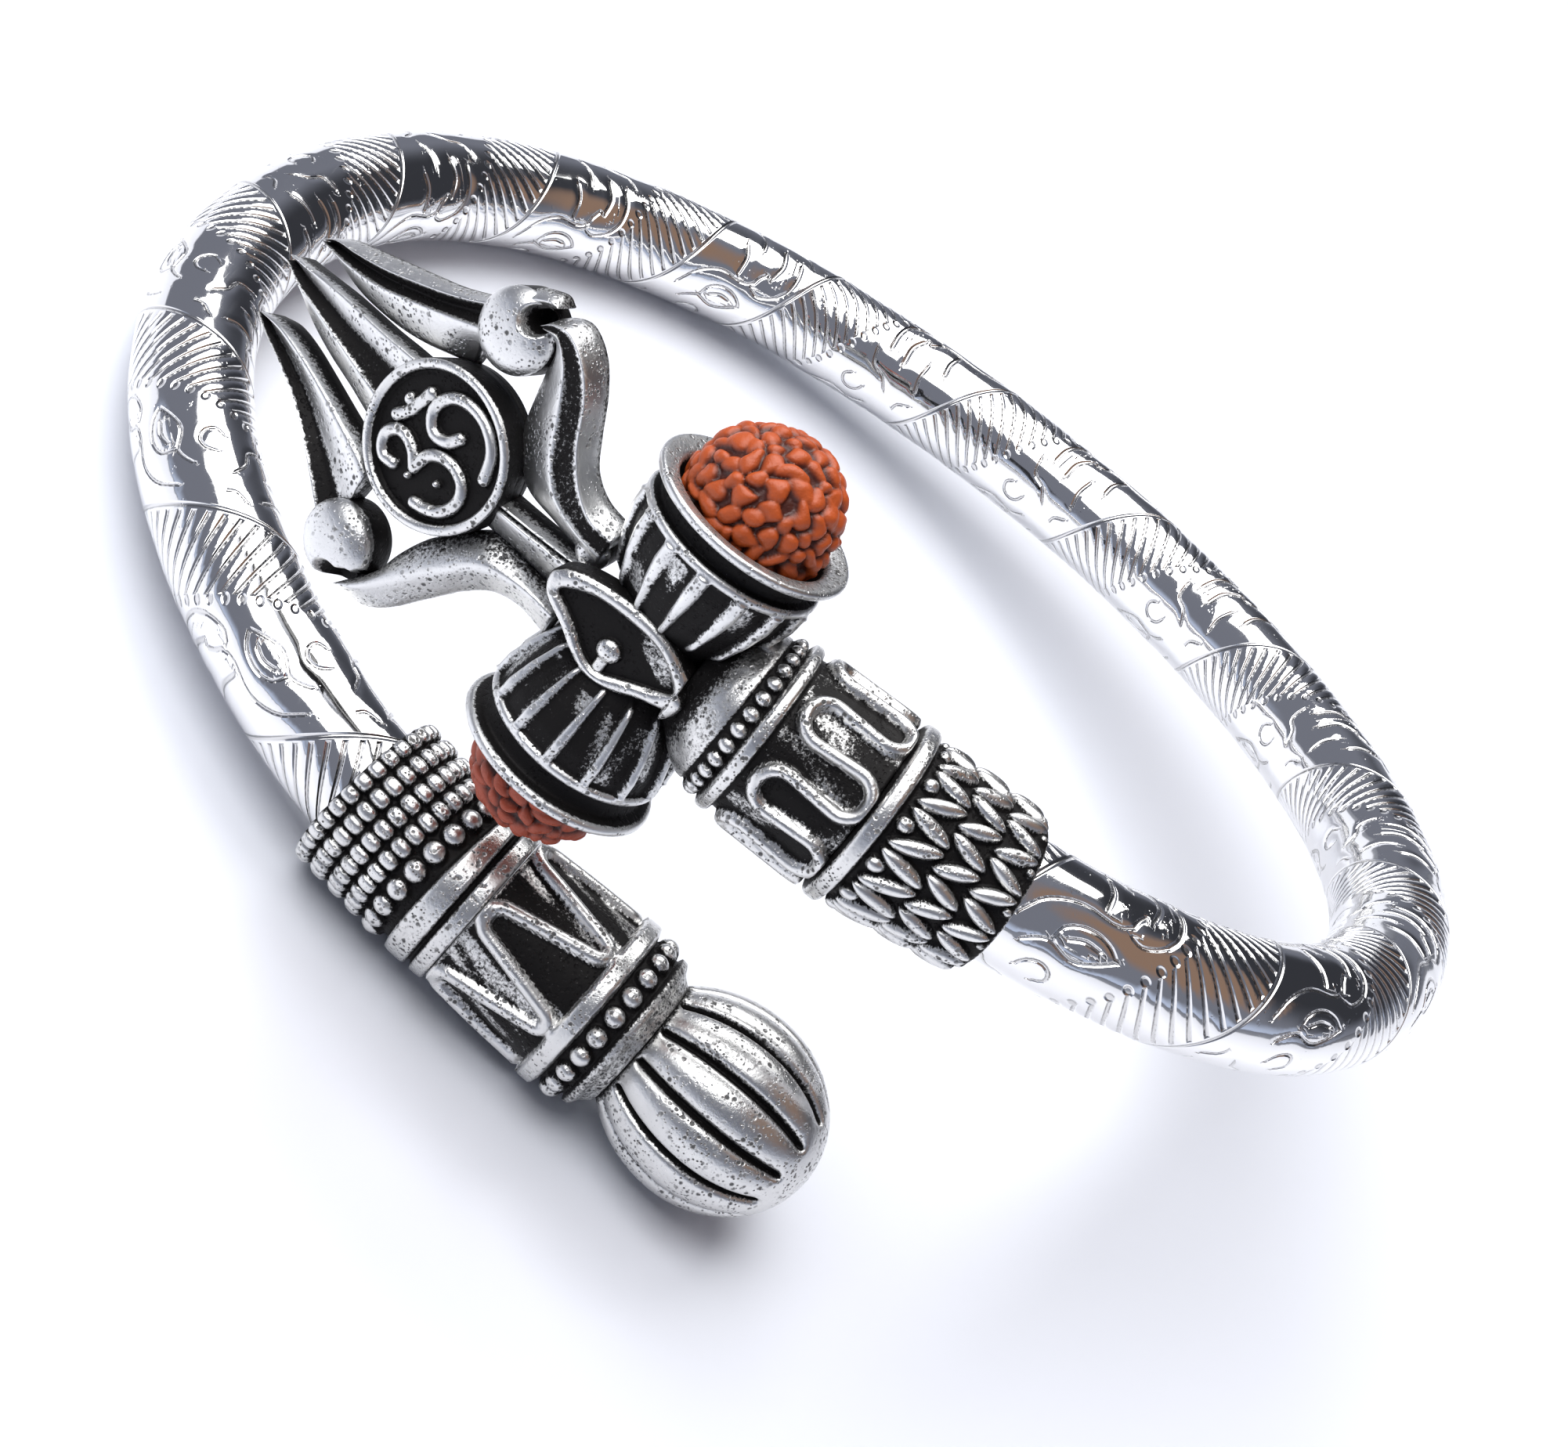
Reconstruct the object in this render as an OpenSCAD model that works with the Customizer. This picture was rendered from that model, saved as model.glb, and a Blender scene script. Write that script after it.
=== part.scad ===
// An open bypass bangle (kada) that lies on its side.
// A round engraved tube makes the ring. Its low end, the tail, carries a granulated collar,
// a zigzag barrel and a melon. Its high end, the head, carries a braided collar, a serpentine
// barrel, an hourglass drum with two seed beads, an eye and a trident with a round medallion.
// Millimetres, +Z up, the floor at Z = 0, the two ends at the front (-Y).

/* [Ring] */
// Inside diameter of the ring, which scales its bends and not its castings
inner_d = 62; // [58:1:66]
// Outside diameter of the tube
tube_d = 6.5; // [6:0.1:6.8]
// Wall of the tube
tube_wall = 0.8; // [0.5:0.1:1.2]
// Gap between two neighbouring pieces
gap = 0.05; // [0.03:0.01:0.1]

/* [Tail casting] */
// Outside diameter of the granulated collar
collar_d = 9.1; // [8.6:0.1:9.6]
// Length of the collar with its two plain bands
collar_len = 8.6; // [8:0.1:9.5]
// Diameter of the zigzag barrel
barrel_d = 9.4; // [9:0.1:9.8]
// Length of the zigzag barrel, up to its end ring
barrel_len = 6.8; // [6:0.1:8]
// Diameter of the ring and the bead row at the barrel's end
barrel_ring_d = 9.9; // [9.4:0.1:10.4]
// Greatest diameter of the melon
melon_d = 10.4; // [10:0.1:11]
// Length of the melon
melon_len = 10.4; // [9.6:0.1:11.5]
// Number of lobes on the melon
melon_lobes = 12; // [8:1:14]

/* [Head casting] */
// Diameter of the braided collar where the tube goes in
braid_d = 8.6; // [8.2:0.1:9]
// Diameter of the braided collar at its far end
braid_end_d = 9.3; // [8.8:0.1:9.6]
// Length of the braided collar with its ring
braid_len = 8.7; // [8:0.1:9.5]
// Diameter of the serpentine barrel
serpent_d = 9.2; // [8.8:0.1:9.6]
// Length of the serpentine barrel, up to its ring
serpent_len = 5.5; // [4.8:0.1:5.8]
// Diameter of the narrow middle of the drum
waist_d = 4.8; // [4.2:0.1:5.4]
// Diameter of the rim of each cup of the drum
cup_d = 10.2; // [9.6:0.1:10.8]
// Height of the drum over both rims
drum_h = 15.8; // [15:0.1:17]
// Diameter of the seed beads
seed_d = 7.8; // [7.2:0.1:8]

/* [Trident] */
// Radius of the bend that carries the trident back round the wrist
trident_bend_r = 42; // [38:1:48]
// Distance from the drum's middle to the medallion's centre
medal_at = 12.7; // [12.5:0.1:13]
// Diameter of the medallion
medal_d = 8; // [7.6:0.1:8.2]
// Thickness of the prongs and arms
prong_t = 2; // [1.6:0.1:2.4]
// Reach of the middle prong past the medallion's centre
prong_reach = 13.3; // [12.5:0.1:14]
// Sideways distance of the scrolls from the middle line
scroll_at = 6.9; // [6.6:0.1:7.2]
// Diameter of the scrolls
scroll_d = 3.7; // [3.4:0.1:4]

/* [Eye] */
// Length of the almond eye
eye_len = 8.2; // [7.6:0.1:8.6]
// Width of the almond eye
eye_w = 3.9; // [3.6:0.1:4.2]

/* [Hidden] */

$fn = 96;
tiny = 0.01;
tube_r = tube_d / 2;
ring_scale = inner_d / 62;

// How the ring lies at rest: its back point and its turns about X, Y and Z
back_point = [-3.16, 35.04, 4.47];
rest_turn = [-10.53, -7.31, 0];

// The centre line leaves the back point both ways as a run of bends.
// Each bend turns first by its roll about the line, and then sweeps through its angle.
LENGTH = 0;
SWEEP = 1;
ROLL = 2;
tube_bends_head = [[32.3, 43, 0], [23.4, 40, -8], [26.1, 37, 3], [22.6, 54, 1]];
tube_bends_tail = [[23.4, 44, 0], [29.1, 47, -14], [14.9, 29, 6], [22.9, 38, -6]];
sleeve_bend_head = [18.2, 16, -21];
sleeve_bend_tail = [9.4, 15, 11];
waist_step = [2.5, 0, 14];

function scaled(bends) = [for (b = bends) [b[LENGTH] * ring_scale, b[SWEEP], b[ROLL]]];
function run_length(bends, k = 0) =
    k == len(bends) ? 0 : bends[k][LENGTH] + run_length(bends, k + 1);
function bend_radius(bend) = bend[LENGTH] / (bend[SWEEP] * PI / 180);

head_tube = scaled(tube_bends_head);
tail_tube = scaled(tube_bends_tail);
head_rim_at = run_length(head_tube);
tail_rim_at = run_length(tail_tube);
waist_at = head_rim_at + sleeve_bend_head[LENGTH] + waist_step[LENGTH];
trident_len = 30;
trident_sweep = trident_len / trident_bend_r * 180 / PI;
head_run = concat(head_tube, [sleeve_bend_head, waist_step, [trident_len, trident_sweep, 0]]);
tail_run = concat(tail_tube, [sleeve_bend_tail, [25, 0, 0]]);

// Half the gap between two bends of the tube, and how proud the band over it stands
joint_gap = 0.2;
joint_proud = 0.03;

// Sockets and spigots that hold the pieces to each other
socket_depth = 4;
spigot_r = 2.4;
spigot_len = 2.5;

// Moves what it holds from the start of one bend to its end
module past(bend) {
    r = bend[SWEEP] == 0 ? 0 : bend_radius(bend);
    shift = bend[SWEEP] == 0 ? [0, 0, bend[LENGTH]] : [r * (1 - cos(bend[SWEEP])), 0, r * sin(bend[SWEEP])];
    translate(shift) rotate([0, bend[SWEEP], 0]) children();
}

// Moves what it holds a distance along a run of bends, with Z along the line and X inwards
module along(bends, distance, k = 0) {
    bend = bends[k];
    rotate([0, 0, bend[ROLL]])
        if (distance <= bend[LENGTH] || k == len(bends) - 1)
            past([distance, bend[SWEEP] * distance / bend[LENGTH], 0]) children();
        else
            past(bend) along(bends, distance - bend[LENGTH], k + 1) children();
}

// Wall of the tube along a run of bends. A short band bridges each joint between two bends,
// a little proud of the tube, so that the bends needn't meet exactly.
module bent_wall(bends, k = 0) {
    if (k < len(bends)) {
        bend = bends[k];
        r = bend_radius(bend);
        trim = joint_gap / r * 180 / PI;
        rotate([0, 0, bend[ROLL]]) {
            translate([r, 0, 0]) rotate([90, 0, 0]) rotate([0, 0, 180 - bend[SWEEP] + trim])
                rotate_extrude(angle = bend[SWEEP] - 2 * trim) translate([r, 0]) wall_outline(0);
            past(bend) {
                joint_band();
                bent_wall(bends, k + 1);
            }
        }
    }
}

module wall_outline(proud) {
    difference() {
        circle(r = tube_r + proud);
        circle(r = tube_r - tube_wall - proud);
    }
}

module joint_band() {
    linear_extrude(4 * joint_gap, center = true) wall_outline(joint_proud);
}

// The ring at rest, and the two ways that its line leaves the back point
module at_rest() { translate(back_point) rotate(rest_turn) children(); }
module headwards() { at_rest() rotate([-90, 0, 0]) rotate([0, 90, 0]) children(); }
module tailwards() { at_rest() rotate([90, 0, 0]) rotate([0, -90, 0]) children(); }

// A straight stretch of a casting from one distance past the tube's rim to another
module head_section(from, to) {
    headwards() along(head_run, head_rim_at + (from + to) / 2) translate([0, 0, (from - to) / 2]) children();
}
module tail_section(from, to) {
    tailwards() along(tail_run, tail_rim_at + (from + to) / 2) translate([0, 0, (from - to) / 2]) children();
}

// The drum's frame, or the same frame further along the trident's bend:
// X runs towards the trident's points, Y down towards the lower seed bead, Z away from the wrist
module ornament(distance = 0) {
    headwards() along(head_run, waist_at + distance) rotate([0, -90, 0]) children();
}

// The straight end of the tube that goes into a collar, and the socket that takes it
module tube_end() { translate([0, 0, joint_gap]) linear_extrude(socket_depth - joint_gap) wall_outline(0); }
module tube_socket() { translate([0, 0, -1]) cylinder(h = socket_depth + 1 + gap, r = tube_r + gap); }

// The round pin at the start of a casting; grown by the gap, it is the hole that takes the pin
module spigot(grow) { translate([0, 0, -spigot_len - grow]) cylinder(h = spigot_len + 1, r = spigot_r + grow); }

module bangle_tube() {
    color("silver") {
        at_rest() rotate([0, 90, 0]) joint_band();
        tailwards() {
            bent_wall(tail_tube);
            along(tail_run, tail_rim_at) tube_end();
        }
        headwards() {
            bent_wall(head_tube);
            along(head_run, head_rim_at) tube_end();
        }
    }
}

// Tail

collar_r = collar_d / 2;
collar_from = 0.3;
band_from = 6.3;
groove_w = 0.25;
groove_depth = 0.35;
// Each sleeve turns a little from the one before, so it is made this much longer and then cut
// along the other's end face
overrun = 0.8;

module tail_collar() {
    color("dimgray") difference() {
        tail_section(0, collar_len) {
            rotate_extrude() polygon([
                [0, collar_from], [tube_r + 0.5, collar_from], [collar_r - 0.15, collar_from + 0.6],
                [collar_r, band_from - groove_w],
                [collar_r - groove_depth, band_from - groove_w], [collar_r - groove_depth, band_from],
                [collar_r, band_from], [collar_r, (band_from + collar_len - groove_w) / 2],
                [collar_r - groove_depth, (band_from + collar_len - groove_w) / 2],
                [collar_r - groove_depth, (band_from + collar_len + groove_w) / 2],
                [collar_r, (band_from + collar_len + groove_w) / 2],
                [collar_r, collar_len + overrun], [0, collar_len + overrun]]);
        }
        tailwards() along(tail_run, tail_rim_at) tube_socket();
        tail_section(collar_len, collar_len) {
            spigot(gap);
            cylinder(h = 3, r = collar_r + 1);
        }
    }
}

barrel_r = barrel_d / 2;
barrel_ring_r = barrel_ring_d / 2;
barrel_from = collar_len + gap;
ring_w = 1.1;
bead_row_w = 1.2;
shoulder_w = 0.9;
tail_ring_at = collar_len + barrel_len;
tail_beads_at = tail_ring_at + ring_w;
tail_shoulder_at = tail_beads_at + bead_row_w;
tail_barrel_to = tail_shoulder_at + shoulder_w;
neck_r = 3.5;

module tail_barrel() {
    color("dimgray") difference() {
        tail_section(collar_len, collar_len) {
            spigot(0);
            translate([0, 0, -collar_len]) rotate_extrude() polygon([
                [0, barrel_from], [barrel_r - 0.1, barrel_from], [barrel_r, tail_ring_at],
                [barrel_ring_r, tail_ring_at], [barrel_ring_r, tail_beads_at],
                [barrel_ring_r - 0.5, tail_beads_at], [barrel_ring_r - 0.1, tail_beads_at + bead_row_w / 2],
                [barrel_ring_r - 0.5, tail_shoulder_at], [neck_r + 0.5, tail_barrel_to], [0, tail_barrel_to]]);
        }
        tail_section(tail_barrel_to, tail_barrel_to) spigot(gap);
        tail_section(melon_from, melon_from) translate([0, 0, -gap]) cylinder(h = 2, r = barrel_ring_r + 1);
    }
}

// Half outline of the melon: an ellipse that widens from the neck, and a steeper one to the tip
melon_r = melon_d / 2;
melon_from = tail_barrel_to + gap;
melon_wide_at = 0.45 * melon_len;
melon_back_len = melon_wide_at / sqrt(1 - pow(neck_r / melon_r, 2));
melon_steps = 16;
function melon_radius(z) = melon_r * (z < melon_wide_at
    ? sqrt(1 - pow((melon_wide_at - z) / melon_back_len, 2))
    : sqrt(1 - pow((z - melon_wide_at) / (melon_len - melon_wide_at), 2)));
function melon_outline(from, to, grow) = [for (k = [from:to])
    let (z = melon_len * (1 - pow(1 - k / melon_steps, 1.5)))
    [max(melon_radius(z) + grow, 0), z]];
lobe_groove_w = 0.35;
lobe_groove_depth = 0.45;

module melon_finial() {
    color("dimgray") tail_section(melon_from, melon_from) {
        spigot(0);
        difference() {
            rotate_extrude() polygon(concat([[0, 0]], melon_outline(0, melon_steps, 0)));
            for (lobe = [0:melon_lobes - 1])
                rotate([90, 0, (lobe + 0.5) * 360 / melon_lobes])
                    linear_extrude(lobe_groove_w, center = true) difference() {
                        polygon(melon_outline(1, melon_steps - 4, 1));
                        polygon(concat([[0, 0]], melon_outline(0, melon_steps, -lobe_groove_depth)));
                    }
        }
    }
}

// Head

braid_from = 0.9;
braid_ring_w = 0.7;

module braid_collar() {
    color("dimgray") difference() {
        head_section(0, braid_len) rotate_extrude() polygon([
            [0, braid_from], [tube_r + 0.6, braid_from], [braid_d / 2, braid_from + 0.5],
            [braid_end_d / 2, braid_len - braid_ring_w],
            [braid_end_d / 2 + 0.15, braid_len - braid_ring_w],
            [braid_end_d / 2 + 0.15, braid_len + overrun], [0, braid_len + overrun]]);
        headwards() along(head_run, head_rim_at) tube_socket();
        head_section(serpent_from, cone_at) translate([0, 0, -gap]) cylinder(h = 3, r = braid_end_d / 2 + 1);
        head_section(braid_len, braid_len) spigot(gap);
    }
}

serpent_r = serpent_d / 2;
serpent_from = braid_len + gap;
serpent_ring_w = 0.7;
serpent_bead_w = 0.8;
serpent_ring_at = braid_len + serpent_len;
serpent_beads_at = serpent_ring_at + serpent_ring_w;
cone_at = serpent_beads_at + serpent_bead_w;
waist_r = waist_d / 2;
waist_from_rim = sleeve_bend_head[LENGTH] + waist_step[LENGTH];
cone_to = waist_from_rim - waist_r - gap;

module serpentine_barrel() {
    color("dimgray") {
        head_section(braid_len, braid_len) spigot(0);
        head_section(serpent_from, cone_at) rotate_extrude() translate([0, -serpent_from]) polygon([
            [0, serpent_from], [serpent_r, serpent_from], [serpent_r - 0.1, serpent_ring_at],
            [serpent_r - 0.1, serpent_beads_at], [serpent_r - 0.6, serpent_beads_at],
            [serpent_r - 0.3, serpent_beads_at + serpent_bead_w / 2], [serpent_r - 0.6, cone_at], [0, cone_at]]);
        difference() {
            head_section(cone_at, cone_to) translate([0, 0, -0.3]) rotate_extrude() polygon([
                [0, 0], [serpent_r - 0.7, 0], [serpent_r - 0.75, 1], [serpent_r - 1.2, 1.9],
                [waist_r + 0.1, cone_to - cone_at + 0.3], [0, cone_to - cone_at + 0.3]]);
            drum_room();
        }
    }
}

cup_r = cup_d / 2;
rim_h = 0.5;
cup_ring_drop = 1.6;
seed_r = seed_d / 2;
seat_r = seed_r + gap;
seed_out = 0.35;
half_drum = drum_h / 2;

cup_wall_r = cup_r - 0.7;
cup_foot = [waist_r + 0.5, 1.4];
cup_belly = [cup_r - 1.1, 3.7];

// Half outline of the upper cup, from the waist up to the rim
cup_points = [
    [waist_r, 0], cup_foot, cup_belly, [cup_wall_r, half_drum - cup_ring_drop - 0.4],
    [cup_wall_r + 0.25, half_drum - cup_ring_drop - 0.4], [cup_wall_r + 0.25, half_drum - cup_ring_drop],
    [cup_wall_r, half_drum - cup_ring_drop], [cup_wall_r, half_drum - rim_h],
    [cup_r, half_drum - rim_h], [cup_r, half_drum], [0, half_drum]];

module drum_outline() {
    difference() {
        polygon(concat(cup_points, [for (k = [len(cup_points) - 1:-1:1]) [cup_points[k][0], -cup_points[k][1]]]));
        for (side = [-1, 1]) translate([0, side * (half_drum + seed_out)]) circle(r = seat_r);
    }
}

// The drum's outline with the gap round it, for the pieces that are soldered to it.
// It slopes, so that its gap is measured a little wider.
seat_gap = gap + 0.02;

module drum_room() {
    ornament() rotate([-90, 0, 0]) rotate_extrude() polygon([
        [0, -half_drum], [cup_wall_r + seat_gap, -half_drum],
        [cup_belly[0] + seat_gap, -cup_belly[1]], [cup_foot[0] + seat_gap, -cup_foot[1]],
        [waist_r + seat_gap, 0], [cup_foot[0] + seat_gap, cup_foot[1]],
        [cup_belly[0] + seat_gap, cup_belly[1]], [cup_wall_r + seat_gap, half_drum], [0, half_drum]]);
}

module damru() {
    color("gray") ornament() rotate([-90, 0, 0]) rotate([0, 0, 45]) rotate_extrude() drum_outline();
}

module seed(side) {
    color("firebrick") ornament() translate([0, side * (half_drum + seed_out), 0]) sphere(r = seed_r);
}
module rudraksha_upper() { seed(-1); }
module rudraksha_lower() { seed(1); }

eye_at = 1;
eye_back = 2;
eye_front = 3.4;
eye_wire = 0.65;
eye_floor = 0.35;
pupil_r = 0.65;
// Two arcs of this radius meet in an almond of the eye's length and width
eye_arc_r = (pow(eye_len / 2, 2) + pow(eye_w / 2, 2)) / eye_w;

module almond(inset) {
    intersection_for (side = [-1, 1])
        translate([0, side * (eye_arc_r - eye_w / 2)]) circle(r = eye_arc_r - inset, $fn = 180);
}

module eye_boss() {
    color("gray") difference() {
        ornament() translate([eye_at, 0, 0]) {
            translate([0, 0, eye_back]) linear_extrude(eye_front - eye_back - eye_floor) almond(0);
            translate([0, 0, eye_front - eye_floor - tiny]) linear_extrude(eye_floor + tiny) difference() {
                almond(0);
                almond(eye_wire);
            }
            translate([0, 0, eye_front - eye_floor - 0.2]) sphere(r = pupil_r);
        }
        drum_room();
    }
}

// The trident's outline, seen square to its bend at the medallion's centre:
// X towards the points, Y sideways
function arc_points(a, b, c, steps = 10) = [for (k = [0:steps])
    let (t = k / steps) (1 - t) * (1 - t) * a + 2 * t * (1 - t) * b + t * t * c];

module middle_prong() {
    polygon(concat(
        arc_points([prong_reach, 0], [prong_reach - 4, 1.8], [0, 2]),
        arc_points([0, -2], [prong_reach - 4, -1.8], [prong_reach, 0])));
}

module side_prong() {
    tip = [prong_reach - 1, 2.7];
    polygon(concat(
        arc_points(tip, [prong_reach - 7.3, 4.3], [1.8, scroll_at + 0.8]),
        [[-0.2, scroll_at], [0, 3.4]],
        arc_points([2, 3.2], [prong_reach - 6.4, 1.2], tip)));
}

module arm() {
    polygon(concat(
        arc_points([-0.2, scroll_at + 2.1], [-3.2, scroll_at + 2.3], [-4.1, 6.4]),
        arc_points([-4.1, 6.4], [-5, 3.3], [arm_root, 3]),
        arc_points([arm_root, 0], [-3.4, 0.3], [-2.4, 3.4]),
        arc_points([-2.4, 3.4], [-1.8, 5.2], [0, scroll_at])));
}

module trident_outline() {
    middle_prong();
    circle(d = medal_d - 0.6);
    translate([arm_root - 0.3, -0.7]) square([7, 1.4]);
    for (side = [0, 1]) mirror([0, side]) {
        side_prong();
        arm();
        translate([0.5, scroll_at]) circle(d = scroll_d);
    }
}

arm_root = -8.6;
trident_lean = 2.7;
trident_root_r = 1.1;
trident_root_at = waist_r - 0.1;
trident_back = -0.2;
medal_back = 0.5;
medal_front = 2.3;
medal_recess = 0.5;
medal_rim = 0.55;
medal_pin_r = 0.8;

// The part of the bend between two depths, as a shell round the bend's axis
module bend_shell(back, front) {
    translate([0, 0, -trident_bend_r]) rotate([90, 0, 0]) difference() {
        cylinder(h = 40, r = trident_bend_r + front, center = true, $fn = 360);
        cylinder(h = 41, r = trident_bend_r + back, center = true, $fn = 360);
    }
}

module trident() {
    color("gray") {
        ornament(medal_at) difference() {
            intersection() {
                translate([0, 0, -12]) linear_extrude(20) rotate(trident_lean) trident_outline();
                bend_shell(trident_back, trident_back + prong_t);
            }
            translate([0, 0, medal_back - gap]) cylinder(h = 5, d = medal_d + 2 * gap);
            cylinder(h = 4, r = medal_pin_r + gap, center = true);
        }
        difference() {
            ornament() rotate([0, 90, 0]) translate([0, 0, trident_root_at]) cylinder(h = 2, r = trident_root_r);
            drum_room();
        }
    }
}

module om_medallion() {
    color("gray") ornament(medal_at) {
        difference() {
            translate([0, 0, medal_back]) cylinder(h = medal_front - medal_back, d = medal_d);
            translate([0, 0, medal_front - medal_recess]) cylinder(h = 1, d = medal_d - 2 * medal_rim);
        }
        translate([0, 0, -0.3]) cylinder(h = 1, r = medal_pin_r);
    }
}

bangle_tube();
tail_collar();
tail_barrel();
melon_finial();
braid_collar();
serpentine_barrel();
damru();
eye_boss();
trident();
om_medallion();
rudraksha_upper();
rudraksha_lower();
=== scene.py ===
import bpy
import numpy as np
from mathutils import Matrix


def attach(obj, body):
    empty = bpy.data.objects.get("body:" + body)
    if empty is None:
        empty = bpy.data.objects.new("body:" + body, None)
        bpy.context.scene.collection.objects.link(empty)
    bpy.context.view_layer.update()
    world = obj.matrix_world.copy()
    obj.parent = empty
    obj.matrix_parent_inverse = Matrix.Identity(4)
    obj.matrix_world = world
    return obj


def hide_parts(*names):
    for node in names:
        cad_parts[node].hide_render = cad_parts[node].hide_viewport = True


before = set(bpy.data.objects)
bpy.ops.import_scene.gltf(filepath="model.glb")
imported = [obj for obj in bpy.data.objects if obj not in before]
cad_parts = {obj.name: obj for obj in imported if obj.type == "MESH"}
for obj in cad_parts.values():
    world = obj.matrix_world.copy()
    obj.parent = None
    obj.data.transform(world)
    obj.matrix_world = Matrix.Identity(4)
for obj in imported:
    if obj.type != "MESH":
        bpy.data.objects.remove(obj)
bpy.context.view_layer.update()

scene = bpy.context.scene
mm = 0.001

# The line of the ring, as in the part: millimetres and degrees.
# A bend is (length, sweep, roll). It rolls about the line first, then sweeps towards the wrist.
ring = {
    "backPoint": (-3.16, 35.04, 4.47),
    "restTurn": (-10.53, -7.31),
    "tubeRadius": 3.25,
    "dents": 0.03,
    "step": 0.24, "around": 116,    # the mesh: millimetres along the tube, faces round it
    "inSocket": 3.7,             # how far the tube goes on inside each collar
    "headTube": [(32.3, 43, 0), (23.4, 40, -8), (26.1, 37, 3), (22.6, 54, 1)],
    "tailTube": [(23.4, 44, 0), (29.1, 47, -14), (14.9, 29, 6), (22.9, 38, -6)],
    "headSleeve": [(18.2, 16, -21), (2.5, 0, 14), (30, 40.926, 0)],
    "tailSleeve": [(9.4, 15, 11), (25, 0, 0)],
}
headBends = ring["headTube"] + ring["headSleeve"]
tailBends = ring["tailTube"] + ring["tailSleeve"]
headRim = sum(bend[0] for bend in ring["headTube"])
tailRim = sum(bend[0] for bend in ring["tailTube"])
waistAt = headRim + ring["headSleeve"][0][0] + ring["headSleeve"][1][0]


def restMatrix():
    # turn about X, then about Y
    a, b = np.radians(ring["restTurn"])
    aboutX = np.array([[1, 0, 0], [0, np.cos(a), -np.sin(a)], [0, np.sin(a), np.cos(a)]])
    aboutY = np.array([[np.cos(b), 0, np.sin(b)], [0, 1, 0], [-np.sin(b), 0, np.cos(b)]])
    return aboutY @ aboutX


def walk(bends, startsAlong, distances):
    # Points and directions at distances along a run of bends. In a bend of radius r, after an angle a:
    # point = start + r ((1 - cos a) inward + sin a along), along turns towards inward by a.
    # Also gives the sum of the rolls so far, in radians.
    flat = np.ravel(np.asarray(distances, float))
    along = np.array(startsAlong, float)
    inward = np.array([0, -1.0, 0])
    point = np.zeros(3)
    places, alongs, inwards = (np.zeros((len(flat), 3)) for _ in range(3))
    rolls = np.zeros(len(flat))
    start, rolled = 0.0, 0.0
    for index, (length, sweep, roll) in enumerate(bends):
        roll, sweep = np.radians(roll), np.radians(sweep)
        side = np.cross(along, inward)
        inward = inward * np.cos(roll) + side * np.sin(roll)
        rolled += roll
        here = flat >= start if index else flat > -1e9
        if index < len(bends) - 1:
            here &= flat < start + length
        d = flat[here] - start
        if sweep == 0:
            places[here] = point + d[:, None] * along
            alongs[here], inwards[here] = along, inward
            point = point + length * along
        else:
            r = length / sweep
            c, s = np.cos(d / r)[:, None], np.sin(d / r)[:, None]
            places[here] = point + r * ((1 - c) * inward + s * along)
            alongs[here] = along * c + inward * s
            inwards[here] = inward * c - along * s
            point = point + r * ((1 - np.cos(sweep)) * inward + np.sin(sweep) * along)
            along, inward = (along * np.cos(sweep) + inward * np.sin(sweep),
                             inward * np.cos(sweep) - along * np.sin(sweep))
        rolls[here] = rolled
        start += length
    turn = restMatrix().T
    shape = np.shape(distances)
    places = places @ turn + np.array(ring["backPoint"])
    return (places.reshape(shape + (3,)), (alongs @ turn).reshape(shape + (3,)),
            (inwards @ turn).reshape(shape + (3,)), rolls.reshape(shape))


def headWalk(distances):
    return walk(headBends, (1, 0, 0), distances)


def tailWalk(distances):
    return walk(tailBends, (-1, 0, 0), distances)


def sleeveFrame(which, station):
    # the straight frame of a casting: its point, along, inward and sideways directions at one station
    rim, walker = (headRim, headWalk) if which == "head" else (tailRim, tailWalk)
    place, along, inward, _ = walker(np.array([rim + station]))
    return {"place": place[0], "along": along[0], "inward": inward[0],
            "side": np.cross(along[0], inward[0]), "station": station}


def roundSleeve(base, stations, angles, radii):
    # place + (station - frame's station) along + radius (cos angle inward + sin angle side)
    around = np.cos(angles)[..., None] * base["inward"] + np.sin(angles)[..., None] * base["side"]
    return base["place"] + (stations - base["station"])[..., None] * base["along"] + radii[..., None] * around


def bentSleeve(first, second, stations, angles, radii, low, high):
    # roundSleeve in the first frame, going over to the second frame between two stations
    mix = ramp(stations, low, high)[..., None]
    straight, turned = (roundSleeve(base, stations, angles, radii) for base in (first, second))
    return straight * (1 - mix) + turned * mix


def ornament(u, w, o):
    # The drum's frame carried along the trident's bend: u towards the points, w towards the upper seed,
    # o outward.
    place, along, inward, _ = headWalk(waistAt + np.asarray(u, float))
    return place - np.asarray(o)[..., None] * inward - np.asarray(w)[..., None] * np.cross(along, inward)


# Shapes.

def smoothLine(points, count, closed=False):
    # A cubic through the points, by chord length. Its slope at a point is that of its neighbours' chord.
    p = np.asarray(points, float)
    if closed:
        p = np.vstack([p[-3:], p, p[:4]])
    t = np.concatenate([[0], np.cumsum(np.linalg.norm(np.diff(p, axis=0), axis=1))])
    slope = np.empty_like(p)
    slope[1:-1] = (p[2:] - p[:-2]) / (t[2:] - t[:-2])[:, None]
    slope[0], slope[-1] = (p[1] - p[0]) / (t[1] - t[0]), (p[-1] - p[-2]) / (t[-1] - t[-2])
    x = np.linspace(t[3], t[-4], count, endpoint=False) if closed else np.linspace(t[0], t[-1], count)
    k = np.clip(np.searchsorted(t, x, side="right") - 1, 0, len(t) - 2)
    h = (t[k + 1] - t[k])[:, None]
    q = (x - t[k])[:, None] / h
    return ((2 * q**3 - 3 * q**2 + 1) * p[k] + (q**3 - 2 * q**2 + q) * h * slope[k]
            + (3 * q**2 - 2 * q**3) * p[k + 1] + (q**3 - q**2) * h * slope[k + 1])


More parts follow.
